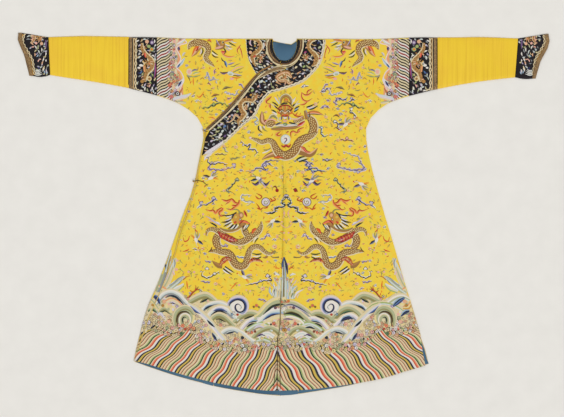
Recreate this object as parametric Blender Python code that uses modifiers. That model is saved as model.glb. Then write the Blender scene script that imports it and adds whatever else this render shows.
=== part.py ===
"""A Chinese dragon robe laid flat on its back, front up, with its sleeves straight out.

Frame: +X to the wearer's left, +Y to the shoulders, +Z up from the surface the robe lies on.
The tables and sizes are in millimetres, and MM turns them into metres.

Each half of the robe is one length of cloth that passes over the shoulder, so its front and its
back are one folded wall, closed along the shoulder and down the side seam. The wearer's left front
is sewn to the overlap at the centre front. The overlap crosses the chest and closes at the
wearer's right side, over the underflap that belongs to the right half.
"""

import math

import bmesh
import bpy
from mathutils import Vector
from mathutils.geometry import delaunay_2d_cdt, interpolate_bezier

MM = 0.001

# Walls and the heights of the layers that lie on each other.
WALL = 1.4
LINING_WALL = 1.0
APPLIED_WALL = 1.0
GAP = 0.3
LAYER_GAP = 0.6
SEAM = 0.3
LINING_BASE = WALL + GAP
UNDER_TOP = LINING_BASE + LINING_WALL + GAP + WALL
OVERLAP_RISE = WALL + LAYER_GAP
APPLIED_RISE = LAYER_GAP + APPLIED_WALL
FOLD = UNDER_TOP
FOLD_RADIUS = FOLD / 2
FOLD_ANGLES = (45, 90, 135)

# Mesh spacings: along edges, across fronts, and across what lies hidden.
EDGE_STEP = 46
FRONT_STEP = 58
HIDDEN_STEP = 150
CURVE_STEP = 22

# The outline of the robe. Points run down the body, from the sleeve to the hem.
SHOULDER_Y = 702
SLEEVE_SEAM = {"right": -507, "left": 501}
SHOULDER = {
    "right": ((-44, 702), (-151, 702), (-305, 702), (-413, 703), (-507, 707)),
    "left": ((53, 702), (165, 701), (271, 700), (343, 700), (415, 702), (501, 706)),
}
SIDE = {
    "right": (
        (-507, 475), (-463, 461), (-415, 440), (-383, 420), (-356, 398), (-330, 367),
        (-321, 337), (-321, 303), (-326, 271), (-334, 239), (-346, 175), (-361, 111),
        (-371, 79), (-397, 15), (-419, -49), (-442, -113), (-465, -177), (-490, -241),
        (-515, -305), (-543, -369), (-563, -433), (-580, -497), (-588, -529), (-600, -588),
    ),
    "left": (
        (501, 473), (449, 457), (403, 436), (372, 411), (352, 390), (336, 365),
        (328, 335), (330, 303), (340, 239), (355, 175), (372, 111), (390, 47),
        (408, -17), (428, -81), (447, -145), (465, -209), (484, -273), (504, -337),
        (524, -401), (542, -465), (549, -487),
    ),
}
# Below the left side seam a vent parts the front from the back.
VENT = {
    "front": ((558, -564), (568, -604)),
    "back": ((566, -542), (580, -599)),
}
HEM_COLUMNS = ("x", "front", "back")
HEM = (
    (-600, -588, -589),
    (-555, -596, -606),
    (-502, -612, -624),
    (-451, -628, -641),
    (-405, -642, -655),
    (-359, -653, -667),
    (-309, -667, -680),
    (-275, -674, -690),
    (-215, -686, -701),
    (-151, -696, -711),
    (-100, -703, -719),
    (-59, -706, -723),
    (-20, -706, -726),
    (37, -704, -723),
    (102, -702, -713),
    (145, -696, -706),
    (225, -686, -693),
    (271, -680, -684),
    (329, -670, -669),
    (379, -661, -660),
    (415, -652, -650),
    (451, -640, -637),
    (481, -630, -626),
    (524, -618, -614),
    (552, -611, -607),
    (568, -604, -601),
    (580, -599, -599),
)
CENTRE_SEAM = ((3, 610), (0, 257), (-6, -191), (-12, -423), (-20, -706))
VENT_TOP_Y = -190
VENT_GAP = 1.6
UNDERFLAP_EDGE = ((4, 610), (25, 569), (61, 497), (77, 409), (89, 57), (97, -343), (105, -687))
OVERLAP_EDGE = (
    (-315, 330), (-316, 311), (-323, 273), (-334, 225), (-344, 169), (-356, 113),
    (-372, 57), (-387, 9), (-406, -43), (-422, -93), (-433, -143), (-445, -181),
    (-456, -208), (-470, -247), (-503, -327), (-545, -423), (-577, -519), (-596, -587),
)
CLOSING_EDGE = (
    (2, 592), (-31, 588), (-55, 579), (-79, 568), (-109, 555), (-128, 539),
    (-147, 518), (-171, 489), (-205, 449), (-231, 418), (-259, 387), (-294, 356),
    (-315, 338),
)

# The round neck: a half ellipse in front, and a shallow dip behind.
NECK_CENTRE = (4.5, 685)
NECK_RADII = (48.5, 74.5)
BACK_NECK = ((-40, 693), (-14, 687), (4, 684), (25, 680), (36, 681), (50, 693))
# The overlap reaches a little past the middle of the neck, to its button.
TAB_X = -13
BINDING_WIDTH = 8.5
NECK_TRIM_WIDTH = 13.5
PIPING = 2.8
NECK_EDGING = BINDING_WIDTH + NECK_TRIM_WIDTH + PIPING + 2 * GAP

# The dark embroidered bands round the neck and down the closing edge.
UNDER_BAND_EDGE = ((-149, 699), (-147, 657), (-139, 617), (-123, 585), (-109, 562))
OVER_BAND_EDGE = (
    (165, 698), (156, 645), (141, 600), (100, 552), (63, 526), (-11, 500), (-59, 485),
    (-96, 441), (-118, 396), (-162, 359), (-196, 326), (-236, 289), (-288, 248), (-321, 232),
)
CLOSING_TRIM_WIDTH = 12
CLOSING_ENDS = (0.9, 0.62, 0.5, 0.5)

# The soft waves of the laid skirt, each a low ridge that fans out towards the hem.
WAVE_COLUMNS = ("top_x", "top_y", "foot_x", "foot_y", "half_width", "height")
WAVES = (
    (-235, 30, -470, -540, 60, 2.4),
    (-130, -60, -265, -690, 66, 1.7),
    (-45, 10, -105, -700, 52, 1.2),
    (60, -40, 130, -700, 70, 1.9),
    (185, 20, 345, -650, 62, 1.5),
    (300, 40, 480, -560, 64, 2.2),
    (-200, 250, -300, 120, 55, 1.4),
    (215, 290, 300, 110, 60, 1.5),
)
WAVE_EDGE_FADE = 70
LIFT_START = 35
LIFT_RUN = 170
SLEEVE_CROWN = 1.0
SLEEVE_CROWN_START = 330
SLEEVE_CROWN_FULL = 480

# The sleeves: each piece from its seam nearer the body to its seam nearer the hand.
SLEEVE_COLUMNS = ("x", "top", "bottom")
SLEEVE = {
    "right": {
        "band": ((-507.8, 707, 475), (-556, 708, 488), (-604.6, 708, 500)),
        "trim": ((-604.9, 708, 500), (-619.0, 708, 504)),
        "extension": ((-619.3, 709, 505), (-711, 711, 522), (-803, 712, 537), (-871, 710, 547)),
        "cuff_seam": ((-941, 708), (-934.5, 557)),
        "cuff_edge": (
            (-1046, 725), (-1048, 701), (-1036, 671), (-1022, 641), (-1012, 617),
            (-1006, 588), (-1003, 553),
        ),
        "outer_edge": (
            (-1061, 726), (-1064, 700), (-1052, 668), (-1038, 637), (-1027, 614),
            (-1021, 586), (-1018, 554),
        ),
        "cuff_sag": 6,
    },
    "left": {
        "band": ((501.8, 706, 473), (549, 707, 485), (598.2, 707, 497)),
        "trim": ((598.5, 707, 497), (615.0, 707, 500)),
        "extension": ((615.3, 707, 501), (697, 707, 517), (777, 708, 530), (853, 706, 540)),
        "cuff_seam": ((938, 703), (925.5, 548)),
        "cuff_edge": (
            (1044, 720), (1049, 703), (1047, 688), (1038, 662), (1026, 641), (1014, 619),
            (1004, 597), (998, 574), (994, 542),
        ),
        "outer_edge": (
            (1059, 722), (1064, 703), (1062, 686), (1054, 659), (1042, 638), (1029, 616),
            (1020, 595), (1014, 573), (1008, 543),
        ),
        "cuff_sag": 4,
    },
}
PLEATS = 20
PLEAT_HEIGHT = 0.7

# Toggles: gilt ball buttons, each held by a loop of cord.
BALL_RADIUS = 3.6
CORD_RADIUS = 1.3
BUTTON_COLUMNS = ("name", "x", "y", "base_z")
BUTTONS = (
    ("neck", -9, 598, UNDER_TOP + OVERLAP_RISE + APPLIED_RISE + GAP),
    ("arm", -321, 334.5, UNDER_TOP + GAP),
    ("waist", -361, 132, GAP),
)
LOOP_COLUMNS = ("x", "y", "rise above the overlap")
OVER_PIPING = PIPING + 2 * GAP
LOOPS = {
    "arm": ((-315.5, 333.5, 1.2), (-310, 331.5, GAP), (-304, 331, GAP)),
    "waist": (
        (-360, 132.4, 0.6), (-355, 133.2, OVER_PIPING), (-346, 133.9, OVER_PIPING),
        (-338, 134, GAP), (-323, 130, GAP), (-311, 120, GAP), (-305, 115, GAP),
    ),
}

COLOURS = {
    "yellow_satin": (0.78, 0.53, 0.06, 0.55, 0.0),
    "yellow_plain": (0.80, 0.56, 0.07, 0.5, 0.0),
    "blue_lining": (0.06, 0.17, 0.29, 0.6, 0.0),
    "dark_satin": (0.012, 0.009, 0.02, 0.5, 0.0),
    "brocade": (0.20, 0.12, 0.05, 0.5, 0.1),
    "cream_piping": (0.62, 0.50, 0.32, 0.5, 0.0),
    "yellow_piping": (0.55, 0.50, 0.16, 0.5, 0.0),
    "gilt_ball": (0.75, 0.58, 0.27, 0.3, 1.0),
    "dark_cord": (0.05, 0.025, 0.012, 0.6, 0.0),
}


# ---------------------------------------------------------------- lines in the plan

def smooth_line(points, step):
    """Points about one step apart on the smooth curve through these ones."""
    knots = [Vector(p) for p in points]
    last = len(knots) - 1
    dense = [knots[0]]
    for i in range(last):
        here, there = knots[i], knots[i + 1]
        before, after = knots[max(i - 1, 0)], knots[min(i + 2, last)]
        span = (there - here).length
        leave = (there - before) / ((there - here).length + (here - before).length)
        arrive = (after - here) / ((after - there).length + (there - here).length)
        curve = interpolate_bezier(
            here.to_3d(), (here + leave * span / 3).to_3d(),
            (there - arrive * span / 3).to_3d(), there.to_3d(), 12,
        )
        dense += [p.to_2d() for p in curve[1:]]
    return even_line(dense, step)


def even_line(line, step):
    """The same line with points evenly spaced, about one step apart."""
    line = [Vector(p) for p in line]
    spans = [(b - a).length for a, b in zip(line, line[1:])]
    count = max(1, round(sum(spans) / step))
    result, i, passed = [line[0].copy()], 0, 0.0
    for k in range(1, count):
        wanted = sum(spans) * k / count
        while passed + spans[i] < wanted:
            passed += spans[i]
            i += 1
        result.append(line[i].lerp(line[i + 1], (wanted - passed) / spans[i]))
    return result + [line[-1].copy()]


def offset_line(line, distance):
    """The line moved to its left by this distance."""
    moved = []
    for i, p in enumerate(line):
        along = line[min(i + 1, len(line) - 1)] - line[max(i - 1, 0)]
        moved.append(p + Vector((-along.y, along.x)).normalized() * distance)
    return moved


def column_line(table, columns, across, down):
    """Two named columns of a table as a line."""
    a, b = columns.index(across), columns.index(down)
    return [Vector((row[a], row[b])) for row in table]


def x_on_line(line, y):
    """Where a line that runs downwards crosses a height."""
    for a, b in zip(line, line[1:]):
        if b.y <= y <= a.y:
            return a.x + (b.x - a.x) * (a.y - y) / max(a.y - b.y, 1e-9)
    return line[0].x if y > line[0].y else line[-1].x


def cut_line(line, low=-math.inf, high=math.inf):
    """The part of a left-to-right line between two values of x, with points on both."""
    kept = []
    for a, b in zip(line, line[1:]):
        for edge in (low, high):
            if a.x < edge < b.x:
                kept.append(a.lerp(b, (edge - a.x) / (b.x - a.x)))
    kept += [p.copy() for p in line if low <= p.x <= high]
    return sorted(kept, key=lambda p: p.x)


def neck_arc(margin, start, stop, count):
    """Part of the neck's ellipse, widened by a margin: 180 degrees is the right side, 360 the left."""
    arc = []
    for i in range(count + 1):
        turn = math.radians(start + (stop - start) * i / count)
        arc.append(Vector((
            NECK_CENTRE[0] + (NECK_RADII[0] + margin) * math.cos(turn),
            NECK_CENTRE[1] + (NECK_RADII[1] + margin) * math.sin(turn),
        )))
    return arc


def neck_angle(margin, x):
    """Where the front half of the widened ellipse crosses a value of x."""
    return 180 + math.degrees(math.acos((NECK_CENTRE[0] - x) / (NECK_RADII[0] + margin)))


# ---------------------------------------------------------------- heights of the laid cloth

def ease(value):
    value = min(max(value, 0.0), 1.0)
    return value * value * (3 - 2 * value)


def nearest(point, line):
    """The distance from a point to a line, and how far along the line its foot is, from 0 to 1."""
    best, at = math.inf, 0.0
    for i, (a, b) in enumerate(zip(line, line[1:])):
        span = b - a
        t = min(max((point - a).dot(span) / span.length_squared, 0.0), 1.0)
        distance = (point - a - span * t).length
        if distance < best:
            best, at = distance, (i + t) / (len(line) - 1)
    return best, at


def waves(point):
    """The height of the skirt's soft waves, which fade out at the robe's edges."""
    height = 0.0
    for top_x, top_y, foot_x, foot_y, half_width, tall in WAVES:
        ridge = [Vector((top_x, top_y)), Vector((foot_x, foot_y))]
        distance, along = nearest(point, ridge)
        grown = ease(along * 2.5) if top_y < 200 else math.sin(math.pi * along)
        height += tall * grown * math.exp(-((distance / half_width) ** 2))
    edge = min(nearest(point, SIDE_LINES[side])[0] for side in ("right", "left"))
    return height * ease(edge / WAVE_EDGE_FADE)


def sleeve_crown(point):
    """The upper sleeve's front bellies up a little between its fold and its seam."""
    side = "left" if point.x > 0 else "right"
    full = ease((abs(point.x) - SLEEVE_CROWN_START) / (SLEEVE_CROWN_FULL - SLEEVE_CROWN_START))
    low = min(nearest(point, SIDE_LINES[side])[0], nearest(point, SHOULDER_LINES[side])[0])
    return SLEEVE_CROWN * full * ease(low / 100)


def under_top(point):
    """The outer face of a front layer that lies straight on the back."""
    return UNDER_TOP + waves(point) + sleeve_crown(point)


def over_top(point):
    """The outer face of the overlap, and of the left front that slopes down from it."""
    past_flap = point.x - x_on_line(UNDERFLAP_LINE, point.y)
    lift = 1 - ease((past_flap - LIFT_START) / LIFT_RUN)
    lift *= ease((SHOULDER_Y - point.y - 5) / 100)
    return under_top(point) + OVERLAP_RISE * lift


def flat_at(height):
    return lambda point: height


def raised(surface, height):
    return lambda point: surface(point) + height


# ---------------------------------------------------------------- meshes

def material(name):
    red, green, blue, roughness, metallic = COLOURS[name]
    made = bpy.data.materials.get(name)
    if made is None:
        made = bpy.data.materials.new(name)
        made.use_nodes = True
        shader = made.node_tree.nodes["Principled BSDF"]
        shader.inputs["Base Color"].default_value = (red, green, blue, 1)
        shader.inputs["Roughness"].default_value = roughness
        shader.inputs["Metallic"].default_value = metallic
    return made


def to_object(name, mesh_data, colour):
    """A named object of the robe from a bmesh that is in millimetres."""
    bmesh.ops.scale(mesh_data, vec=(MM, MM, MM), verts=mesh_data.verts)
    mesh = bpy.data.meshes.new(name)
    mesh_data.to_mesh(mesh)
    mesh_data.free()
    mesh.shade_smooth()
    mesh.set_sharp_from_angle(angle=math.radians(50))
    mesh.materials.append(material(colour))
    made = bpy.data.objects.new(name, mesh)
    ROBE.objects.link(made)
    return made


def thicken(made, wall):
    """Turns an open outer face into cloth, with its wall on the inner side."""
    solid = made.modifiers.new("wall", "SOLIDIFY")
    solid.thickness = wall * MM
    solid.offset = -1
    solid.use_even_offset = True
    return made


def inner_points(outline, step):
    """A triangular grid of points inside an outline and well clear of it."""
    low_x, high_x = min(p.x for p in outline), max(p.x for p in outline)
    low_y, high_y = min(p.y for p in outline), max(p.y for p in outline)
    ring = outline + outline[:1]
    found = []
    rise = step * math.sqrt(3) / 2
    for j in range(1, int((high_y - low_y) / rise) + 1):
        y = low_y + j * rise
        for i in range(int((high_x - low_x) / step) + 2):
            p = Vector((low_x + (i + 0.5 * (j % 2)) * step, y))
            crossings = sum(
                (a.y > y) != (b.y > y) and p.x < a.x + (b.x - a.x) * (y - a.y) / (b.y - a.y)
                for a, b in zip(ring, ring[1:])
            )
            if crossings % 2 and nearest(p, ring)[0] > 0.5 * step:
                found.append(p)
    return found


def add_sheet(mesh_data, rim, outline, step, surface, upward):
    """Fills an outline, whose corners are already in the mesh, with a triangulated surface."""
    inside = inner_points(outline, step)
    count = len(outline)
    _, _, faces, origins, _, _ = delaunay_2d_cdt(
        outline + inside, [], [list(range(count))], 1, 1e-5
    )
    corners = list(rim)
    corners += [mesh_data.verts.new((p.x, p.y, surface(p))) for p in inside]
    for face in faces:
        ring = [corners[origins[i][0]] for i in face]
        plan = [v.co.to_2d() for v in ring]
        turn = (plan[1] - plan[0]).cross(plan[2] - plan[0])
        if (turn > 0) != upward:
            ring.reverse()
        mesh_data.faces.new(ring)


def panel(name, outline, surface, wall, colour, step=FRONT_STEP):
    """A single layer of cloth with this outline, whose outer face is the surface."""
    mesh_data = bmesh.new()
    rim = [mesh_data.verts.new((p.x, p.y, surface(p))) for p in outline]
    add_sheet(mesh_data, rim, outline, step, surface, True)
    return thicken(to_object(name, mesh_data, colour), wall)


def ribbon(name, one_edge, other_edge, surface, wall, colour):
    """A narrow strip of cloth between two lines that have the same number of points."""
    mesh_data = bmesh.new()
    rows = [[mesh_data.verts.new((p.x, p.y, surface(p))) for p in e] for e in (one_edge, other_edge)]
    for i in range(len(one_edge) - 1):
        mesh_data.faces.new((rows[0][i], rows[0][i + 1], rows[1][i + 1], rows[1][i]))
    bmesh.ops.recalc_face_normals(mesh_data, faces=mesh_data.faces)
    mesh_data.faces.ensure_lookup_table()
    if mesh_data.faces[0].normal.z < 0:
        bmesh.ops.reverse_faces(mesh_data, faces=mesh_data.faces)
    return thicken(to_object(name, mesh_data, colour), wall)


def cord(name, route, radius, colour):
    """A round cord through points in space."""
    curve = bpy.data.curves.new(name, "CURVE")
    curve.dimensions = "3D"
    curve.bevel_depth = radius * MM
    curve.bevel_resolution = 1
    curve.use_fill_caps = True
    spline = curve.splines.new("POLY")
    spline.points.add(len(route) - 1)
    for point, place in zip(spline.points, route):
        point.co = (place[0] * MM, place[1] * MM, place[2] * MM, 1)
    curve.materials.append(material(colour))
    made = bpy.data.objects.new(name, curve)
    ROBE.objects.link(made)
    return made


def piping(name, line, surface, colour):
    """A corded piping that lies on a surface."""
    route = [(p.x, p.y, surface(p) + GAP + PIPING / 2) for p in line]
    return cord(name, route, PIPING / 2, colour)


def folded_half(name, edges, colour):
    """Half of the robe: a front and a back in one wall, closed along the edges marked as folds.

    The edges run anticlockwise. A fold has one line. An open edge has a line for the front and a
    line for the back, without the points that it shares with a fold.
    """
    mesh_data = bmesh.new()
    loops = {"front": [], "back": []}
    heights = {"front": lambda edge, p: edge["surface"](p), "back": lambda edge, p: 0.0}
    for edge in edges:
        if edge["kind"] == "fold":
            inset = offset_line(edge["line"], FOLD_RADIUS)
            rows = [[mesh_data.verts.new((p.x, p.y, FOLD)) for p in inset]]
            for angle in FOLD_ANGLES:
                back = FOLD_RADIUS * (1 - math.sin(math.radians(angle)))
                up = FOLD_RADIUS * (1 + math.cos(math.radians(angle)))
                line = offset_line(edge["line"], back)
                rows.append([mesh_data.verts.new((p.x, p.y, up)) for p in line])
            rows.append([mesh_data.verts.new((p.x, p.y, 0)) for p in inset])
            for upper, lower in zip(rows, rows[1:]):
                for i in range(len(upper) - 1):
                    mesh_data.faces.new((upper[i], lower[i], lower[i + 1], upper[i + 1]))
            loops["front"] += list(zip(inset, rows[0]))
            loops["back"] += list(zip(inset, rows[-1]))
        else:
            for layer in loops:
                for p in edge[layer]:
                    height = heights[layer](edge, p)
                    loops[layer].append((p, mesh_data.verts.new((p.x, p.y, height))))
    surface = next(edge["surface"] for edge in edges if edge["kind"] == "open")
    for layer, step, height in (("front", FRONT_STEP, surface), ("back", HIDDEN_STEP, flat_at(0))):
        outline = [p for p, _ in loops[layer]]
        rim = [v for _, v in loops[layer]]
        add_sheet(mesh_data, rim, outline, step, height, layer == "front")
    return thicken(to_object(name, mesh_data, colour), WALL)


def tube_ring(across, rise, crown, inset):
    """One section of a flattened sleeve: across its front, round its seam, and back beneath.

    across is the section's line in the plan, from the top fold to the seam. inset is 0 on the
    outer face, and the wall on the inner one.
    """
    start, end = across[0], across[-1]
    outward = (start - across[1]).normalized(), (end - across[-2]).normalized()
    radius = FOLD_RADIUS - inset
    ring = []
    count = len(across) - 1
    for i, p in enumerate(across):
        share = i / count
        if i == 0:
            p = start - outward[0] * FOLD_RADIUS
        elif i == count:
            p = end - outward[1] * FOLD_RADIUS
        belly = crown * 4 * share * (1 - share)
        ring.append(Vector((p.x, p.y, FOLD + rise + belly - inset)))
    for (corner, out), flip in (((end, outward[1]), 1), ((start, outward[0]), -1)):
        centre = corner - out * FOLD_RADIUS
        for angle in FOLD_ANGLES:
            reach = (radius + rise) * math.sin(math.radians(angle))
            up = FOLD_RADIUS + flip * radius * math.cos(math.radians(angle))
            p = centre + out * reach
            ring.append(Vector((p.x, p.y, up)))
        foot = Vector((centre.x, centre.y, inset))
        if flip > 0:
            ring.append(foot)
        else:
            ring.insert(len(ring) - len(FOLD_ANGLES), foot)
    return ring


def tube(name, sections, colour):
    """A sleeve piece lofted through sections, plain inside, with the rises on its outer face.

    Each section is its line across, the rise of its outer face, and its crown.
    """
    mesh_data = bmesh.new()

    def loft(rings):
        rows = [[mesh_data.verts.new(p) for p in ring] for ring in rings]
        for near, far in zip(rows, rows[1:]):
            for i in range(len(near)):
                j = (i + 1) % len(near)
                mesh_data.faces.new((near[i], near[j], far[j], far[i]))
        return rows[0], rows[-1]

    outer = loft([tube_ring(across, rise, crown, 0) for across, rise, crown in sections])
    plain = [s for s in sections if s[1] == 0]
    keep = [plain[0]] + plain[1:-1][1::3] + [plain[-1]]
    inner = loft([tube_ring(across, 0, crown, WALL) for across, _, crown in keep])
    for out_ring, in_ring in zip(outer, inner):
        for i in range(len(out_ring)):
            j = (i + 1) % len(out_ring)
            mesh_data.faces.new((out_ring[i], out_ring[j], in_ring[j], in_ring[i]))
    bmesh.ops.recalc_face_normals(mesh_data, faces=mesh_data.faces)
    return to_object(name, mesh_data, colour)


def ball(name, place, colour):
    mesh_data = bmesh.new()
    bmesh.ops.create_uvsphere(mesh_data, u_segments=10, v_segments=6, radius=BALL_RADIUS)
    made = to_object(name, mesh_data, colour)
    made.location = [c * MM for c in place]
    return made


# ---------------------------------------------------------------- the pieces

def build_halves():
    """The two folded halves, each over its shoulder from the front hem to the back hem."""
    hem = {
        layer: column_line(HEM, HEM_COLUMNS, "x", layer) for layer in ("front", "back")
    }
    seam = smooth_line(CENTRE_SEAM, EDGE_STEP)
    flap = smooth_line(UNDERFLAP_EDGE, EDGE_STEP)
    back_neck = smooth_line(BACK_NECK, CURVE_STEP)
    middle = NECK_CENTRE[0]
    left_seam = [p + Vector((SEAM + vent_gap(p.y), 0)) for p in seam]
    back_seam = [Vector((x, y)) for x, y in ((middle, 640), (0, 200), (-10, -250), (-20, -680))]
    left = [
        {
            "kind": "open",
            "front": even_line(cut_line(hem["front"], left_seam[-1].x, 567), EDGE_STEP)[1:]
            + [Vector(VENT["front"][0])],
            "back": even_line(cut_line(hem["back"], -20 + SEAM, 580), EDGE_STEP)
            + [Vector(VENT["back"][0])],
            "surface": over_top,
        },
        {"kind": "fold", "line": smooth_line(SIDE["left"], EDGE_STEP)[::-1]},
        {"kind": "open", "front": sleeve_end("left"), "back": [], "surface": over_top},
        {"kind": "fold", "line": even_line(SHOULDER["left"], EDGE_STEP)[::-1]},
        {
            "kind": "open",
            "front": neck_arc(0, 352, 269, 6) + left_seam[1:],
            "back": [p for p in back_neck[::-1] if p.x > middle + SEAM]
            + [p + Vector((SEAM, 0)) for p in back_seam],
            "surface": over_top,
        },
    ]
    folded_half("body_left", left, "yellow_satin")
    right = [
        {
            "kind": "open",
            "front": even_line([p + Vector((0, 5)) for p in cut_line(hem["front"], -590, 105)], EDGE_STEP)
            + flap[::-1][1:] + neck_arc(0, 262, 188, 6),
            "back": even_line(cut_line(hem["back"], -590, -20 - SEAM), EDGE_STEP)
            + [p - Vector((SEAM, 0)) for p in back_seam[::-1]]
            + [p for p in back_neck[::-1] if p.x < middle - SEAM],
            "surface": under_top,
        },
        {"kind": "fold", "line": even_line(SHOULDER["right"], EDGE_STEP)},
        {"kind": "open", "front": sleeve_end("right"), "back": [], "surface": under_top},
        {"kind": "fold", "line": smooth_line(SIDE["right"], EDGE_STEP)},
    ]
    folded_half("body_right", right, "yellow_satin")


def vent_gap(y):
    """How far the centre front vent stands open at a height."""
    return VENT_GAP * ease((VENT_TOP_Y - y) / 500)


def sleeve_end(side):
    """Points between the seam and the fold at the end of an upper sleeve, going round the outline."""
    x = SLEEVE_SEAM[side]
    low, high = SIDE[side][0][1], SHOULDER[side][-1][1]
    points = [Vector((x, low + (high - low) * share)) for share in (0.25, 0.5, 0.75)]
    return points if side == "left" else points[::-1]


def build_overlap():
    """The front overlap, from the closing edge across the chest down to the hem."""
    hem = column_line(HEM, HEM_COLUMNS, "x", "front")
    seam = [p - Vector((SEAM + vent_gap(p.y), 0)) for p in smooth_line(CENTRE_SEAM, EDGE_STEP)]
    closing = cut_line(smooth_line(CLOSING_EDGE, 5)[::-1], -math.inf, TAB_X)
    closing = even_line(closing[::-1], 30)
    outline = closing + smooth_line(OVERLAP_EDGE, EDGE_STEP)
    outline += even_line(cut_line(hem, -595, seam[-1].x), EDGE_STEP)[1:-1] + seam[::-1]
    outline += neck_arc(0, 268, neck_angle(0, TAB_X), 3)
    panel("front_overlap", outline, over_top, WALL, "yellow_satin")


def build_linings():
    """The blue lining of the back, where the neck and the hem let it show."""
    top = LINING_BASE + LINING_WALL
    neck = [p - Vector((0, 1.5)) for p in smooth_line(BACK_NECK, CURVE_STEP)]
    outline = [Vector((-90, 560)), Vector((98, 560)), Vector((98, 672))]
    outline += neck[::-1] + [Vector((-90, 672))]
    panel("lining_neck", outline, flat_at(top), LINING_WALL, "blue_lining", HIDDEN_STEP)
    hem = [p + Vector((0, 1.5)) for p in column_line(HEM, HEM_COLUMNS, "x", "back")]
    lower = even_line(cut_line(hem, -588, 577), EDGE_STEP)
    outline = lower + [Vector((563, -542)), Vector((541, -484)), Vector((500, -480))]
    outline += [Vector((p.x, p.y + 130)) for p in lower[::-1][3:-2]]
    panel("lining_hem", outline, flat_at(top), LINING_WALL, "blue_lining", HIDDEN_STEP)


def neck_edge(margin, side, end_x):
    """One side of the neck's edging, from the shoulder to where it ends, widened by a margin."""
    start = 180 if side == "right" else 360
    arc = neck_arc(margin, start, neck_angle(margin, end_x), 10)
    return [Vector((arc[0].x, SHOULDER_Y - 3))] + arc


def build_neck():
    """Binding, brocade trim and piping round the neck, in one piece on each side of the closing."""
    ends = {"right": (TAB_X - 1, TAB_X - 9), "left": (TAB_X + 1, TAB_X + 1)}
    for side, surface in (("right", under_top), ("left", over_top)):
        face = raised(surface, APPLIED_RISE)
        end, piping_end = ends[side]
        inner = neck_edge(0.5, side, end)
        middle = neck_edge(BINDING_WIDTH, side, end)
        ribbon(f"neck_binding_{side}", inner, middle, face, APPLIED_WALL, "dark_satin")
        start = neck_edge(BINDING_WIDTH + GAP, side, end)
        outer = neck_edge(BINDING_WIDTH + NECK_TRIM_WIDTH, side, end)
        ribbon(f"neck_trim_{side}", start, outer, face, APPLIED_WALL, "brocade")
        centre = neck_edge(NECK_EDGING - PIPING / 2 - GAP, side, piping_end)
        piping(f"neck_piping_{side}", centre, surface, "cream_piping")


def closing_lines():
    """Lines along the closing edge: the trim's two edges, the piping, and the band's edge."""
    edge = smooth_line(CLOSING_EDGE, 24)
    distances = (0.8, CLOSING_TRIM_WIDTH, CLOSING_TRIM_WIDTH + GAP + PIPING / 2,
                 CLOSING_TRIM_WIDTH + 2 * GAP + PIPING)
    lines = [offset_line(edge, distance) for distance in distances]
    lines[0][0].y = NECK_CENTRE[1] - NECK_RADII[1] - NECK_EDGING - GAP
    for line, share in zip(lines, CLOSING_ENDS):
        line[-1] = line[-2].lerp(line[-1], share)
    return lines


def build_closing():
    """The brocade trim and the pipings of the closing edge and of the overlap's free edge."""
    outer, inner, centre, _ = closing_lines()
    ribbon("closing_trim", outer, inner, raised(over_top, APPLIED_RISE), APPLIED_WALL, "brocade")
    piping("closing_piping", centre, over_top, "cream_piping")
    free = [p for p in smooth_line(OVERLAP_EDGE, EDGE_STEP) if p.y > -580]
    line = offset_line(free, PIPING / 2 + 0.6)
    piping("side_piping", line, over_top, "yellow_piping")


def build_bands():
    """The dark embroidered bands that lie round the neck and along the closing edge."""
    margin = NECK_EDGING + GAP
    _, _, _, band_edge = closing_lines()
    outside = offset_line(smooth_line(CLOSING_EDGE, 24), -1.2)
    face = raised(under_top, APPLIED_RISE)
    under = smooth_line(UNDER_BAND_EDGE, CURVE_STEP)
    along = [p for p in outside if -107 < p.x < -28]
    neck = neck_edge(margin, "right", -24)
    outline = under + along[::-1] + neck[::-1]
    panel("neck_band_right", outline, face, APPLIED_WALL, "dark_satin", 60)
    free = [p + Vector((PIPING + 1.6, 0)) for p in smooth_line(OVERLAP_EDGE, 24)]
    free = [p for p in free if 234 < p.y < 326]
    over = smooth_line(OVER_BAND_EDGE, 34)
    closing = [p for p in band_edge if p.y > 332]
    neck = neck_edge(margin, "left", 11)
    outline = closing + free + over[::-1][1:] + neck
    panel("neck_band_left", outline, raised(over_top, APPLIED_RISE), APPLIED_WALL, "dark_satin", 60)


def straight_section(top, bottom, points=7):
    return [Vector(top).lerp(Vector(bottom), i / (points - 1)) for i in range(points)]


def sleeve_section(side, share):
    """The line across the extension at a share of the way to the cuff."""
    data = SLEEVE[side]
    seam_top, seam_bottom = data["cuff_seam"]
    step = SEAM if side == "right" else -SEAM
    tops = [(x, top) for x, top, _ in data["extension"]] + [(seam_top[0] + step, seam_top[1])]
    bottoms = [(x, bottom) for x, _, bottom in data["extension"]]
    bottoms += [(seam_bottom[0] + step, seam_bottom[1])]
    return straight_section(at_share(tops, share), at_share(bottoms, share))


def at_share(points, share):
    """The point at a share of the way along a short table of points."""
    line = even_line(smooth_line(points, 5), 1)
    return line[round(share * (len(line) - 1))]


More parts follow.
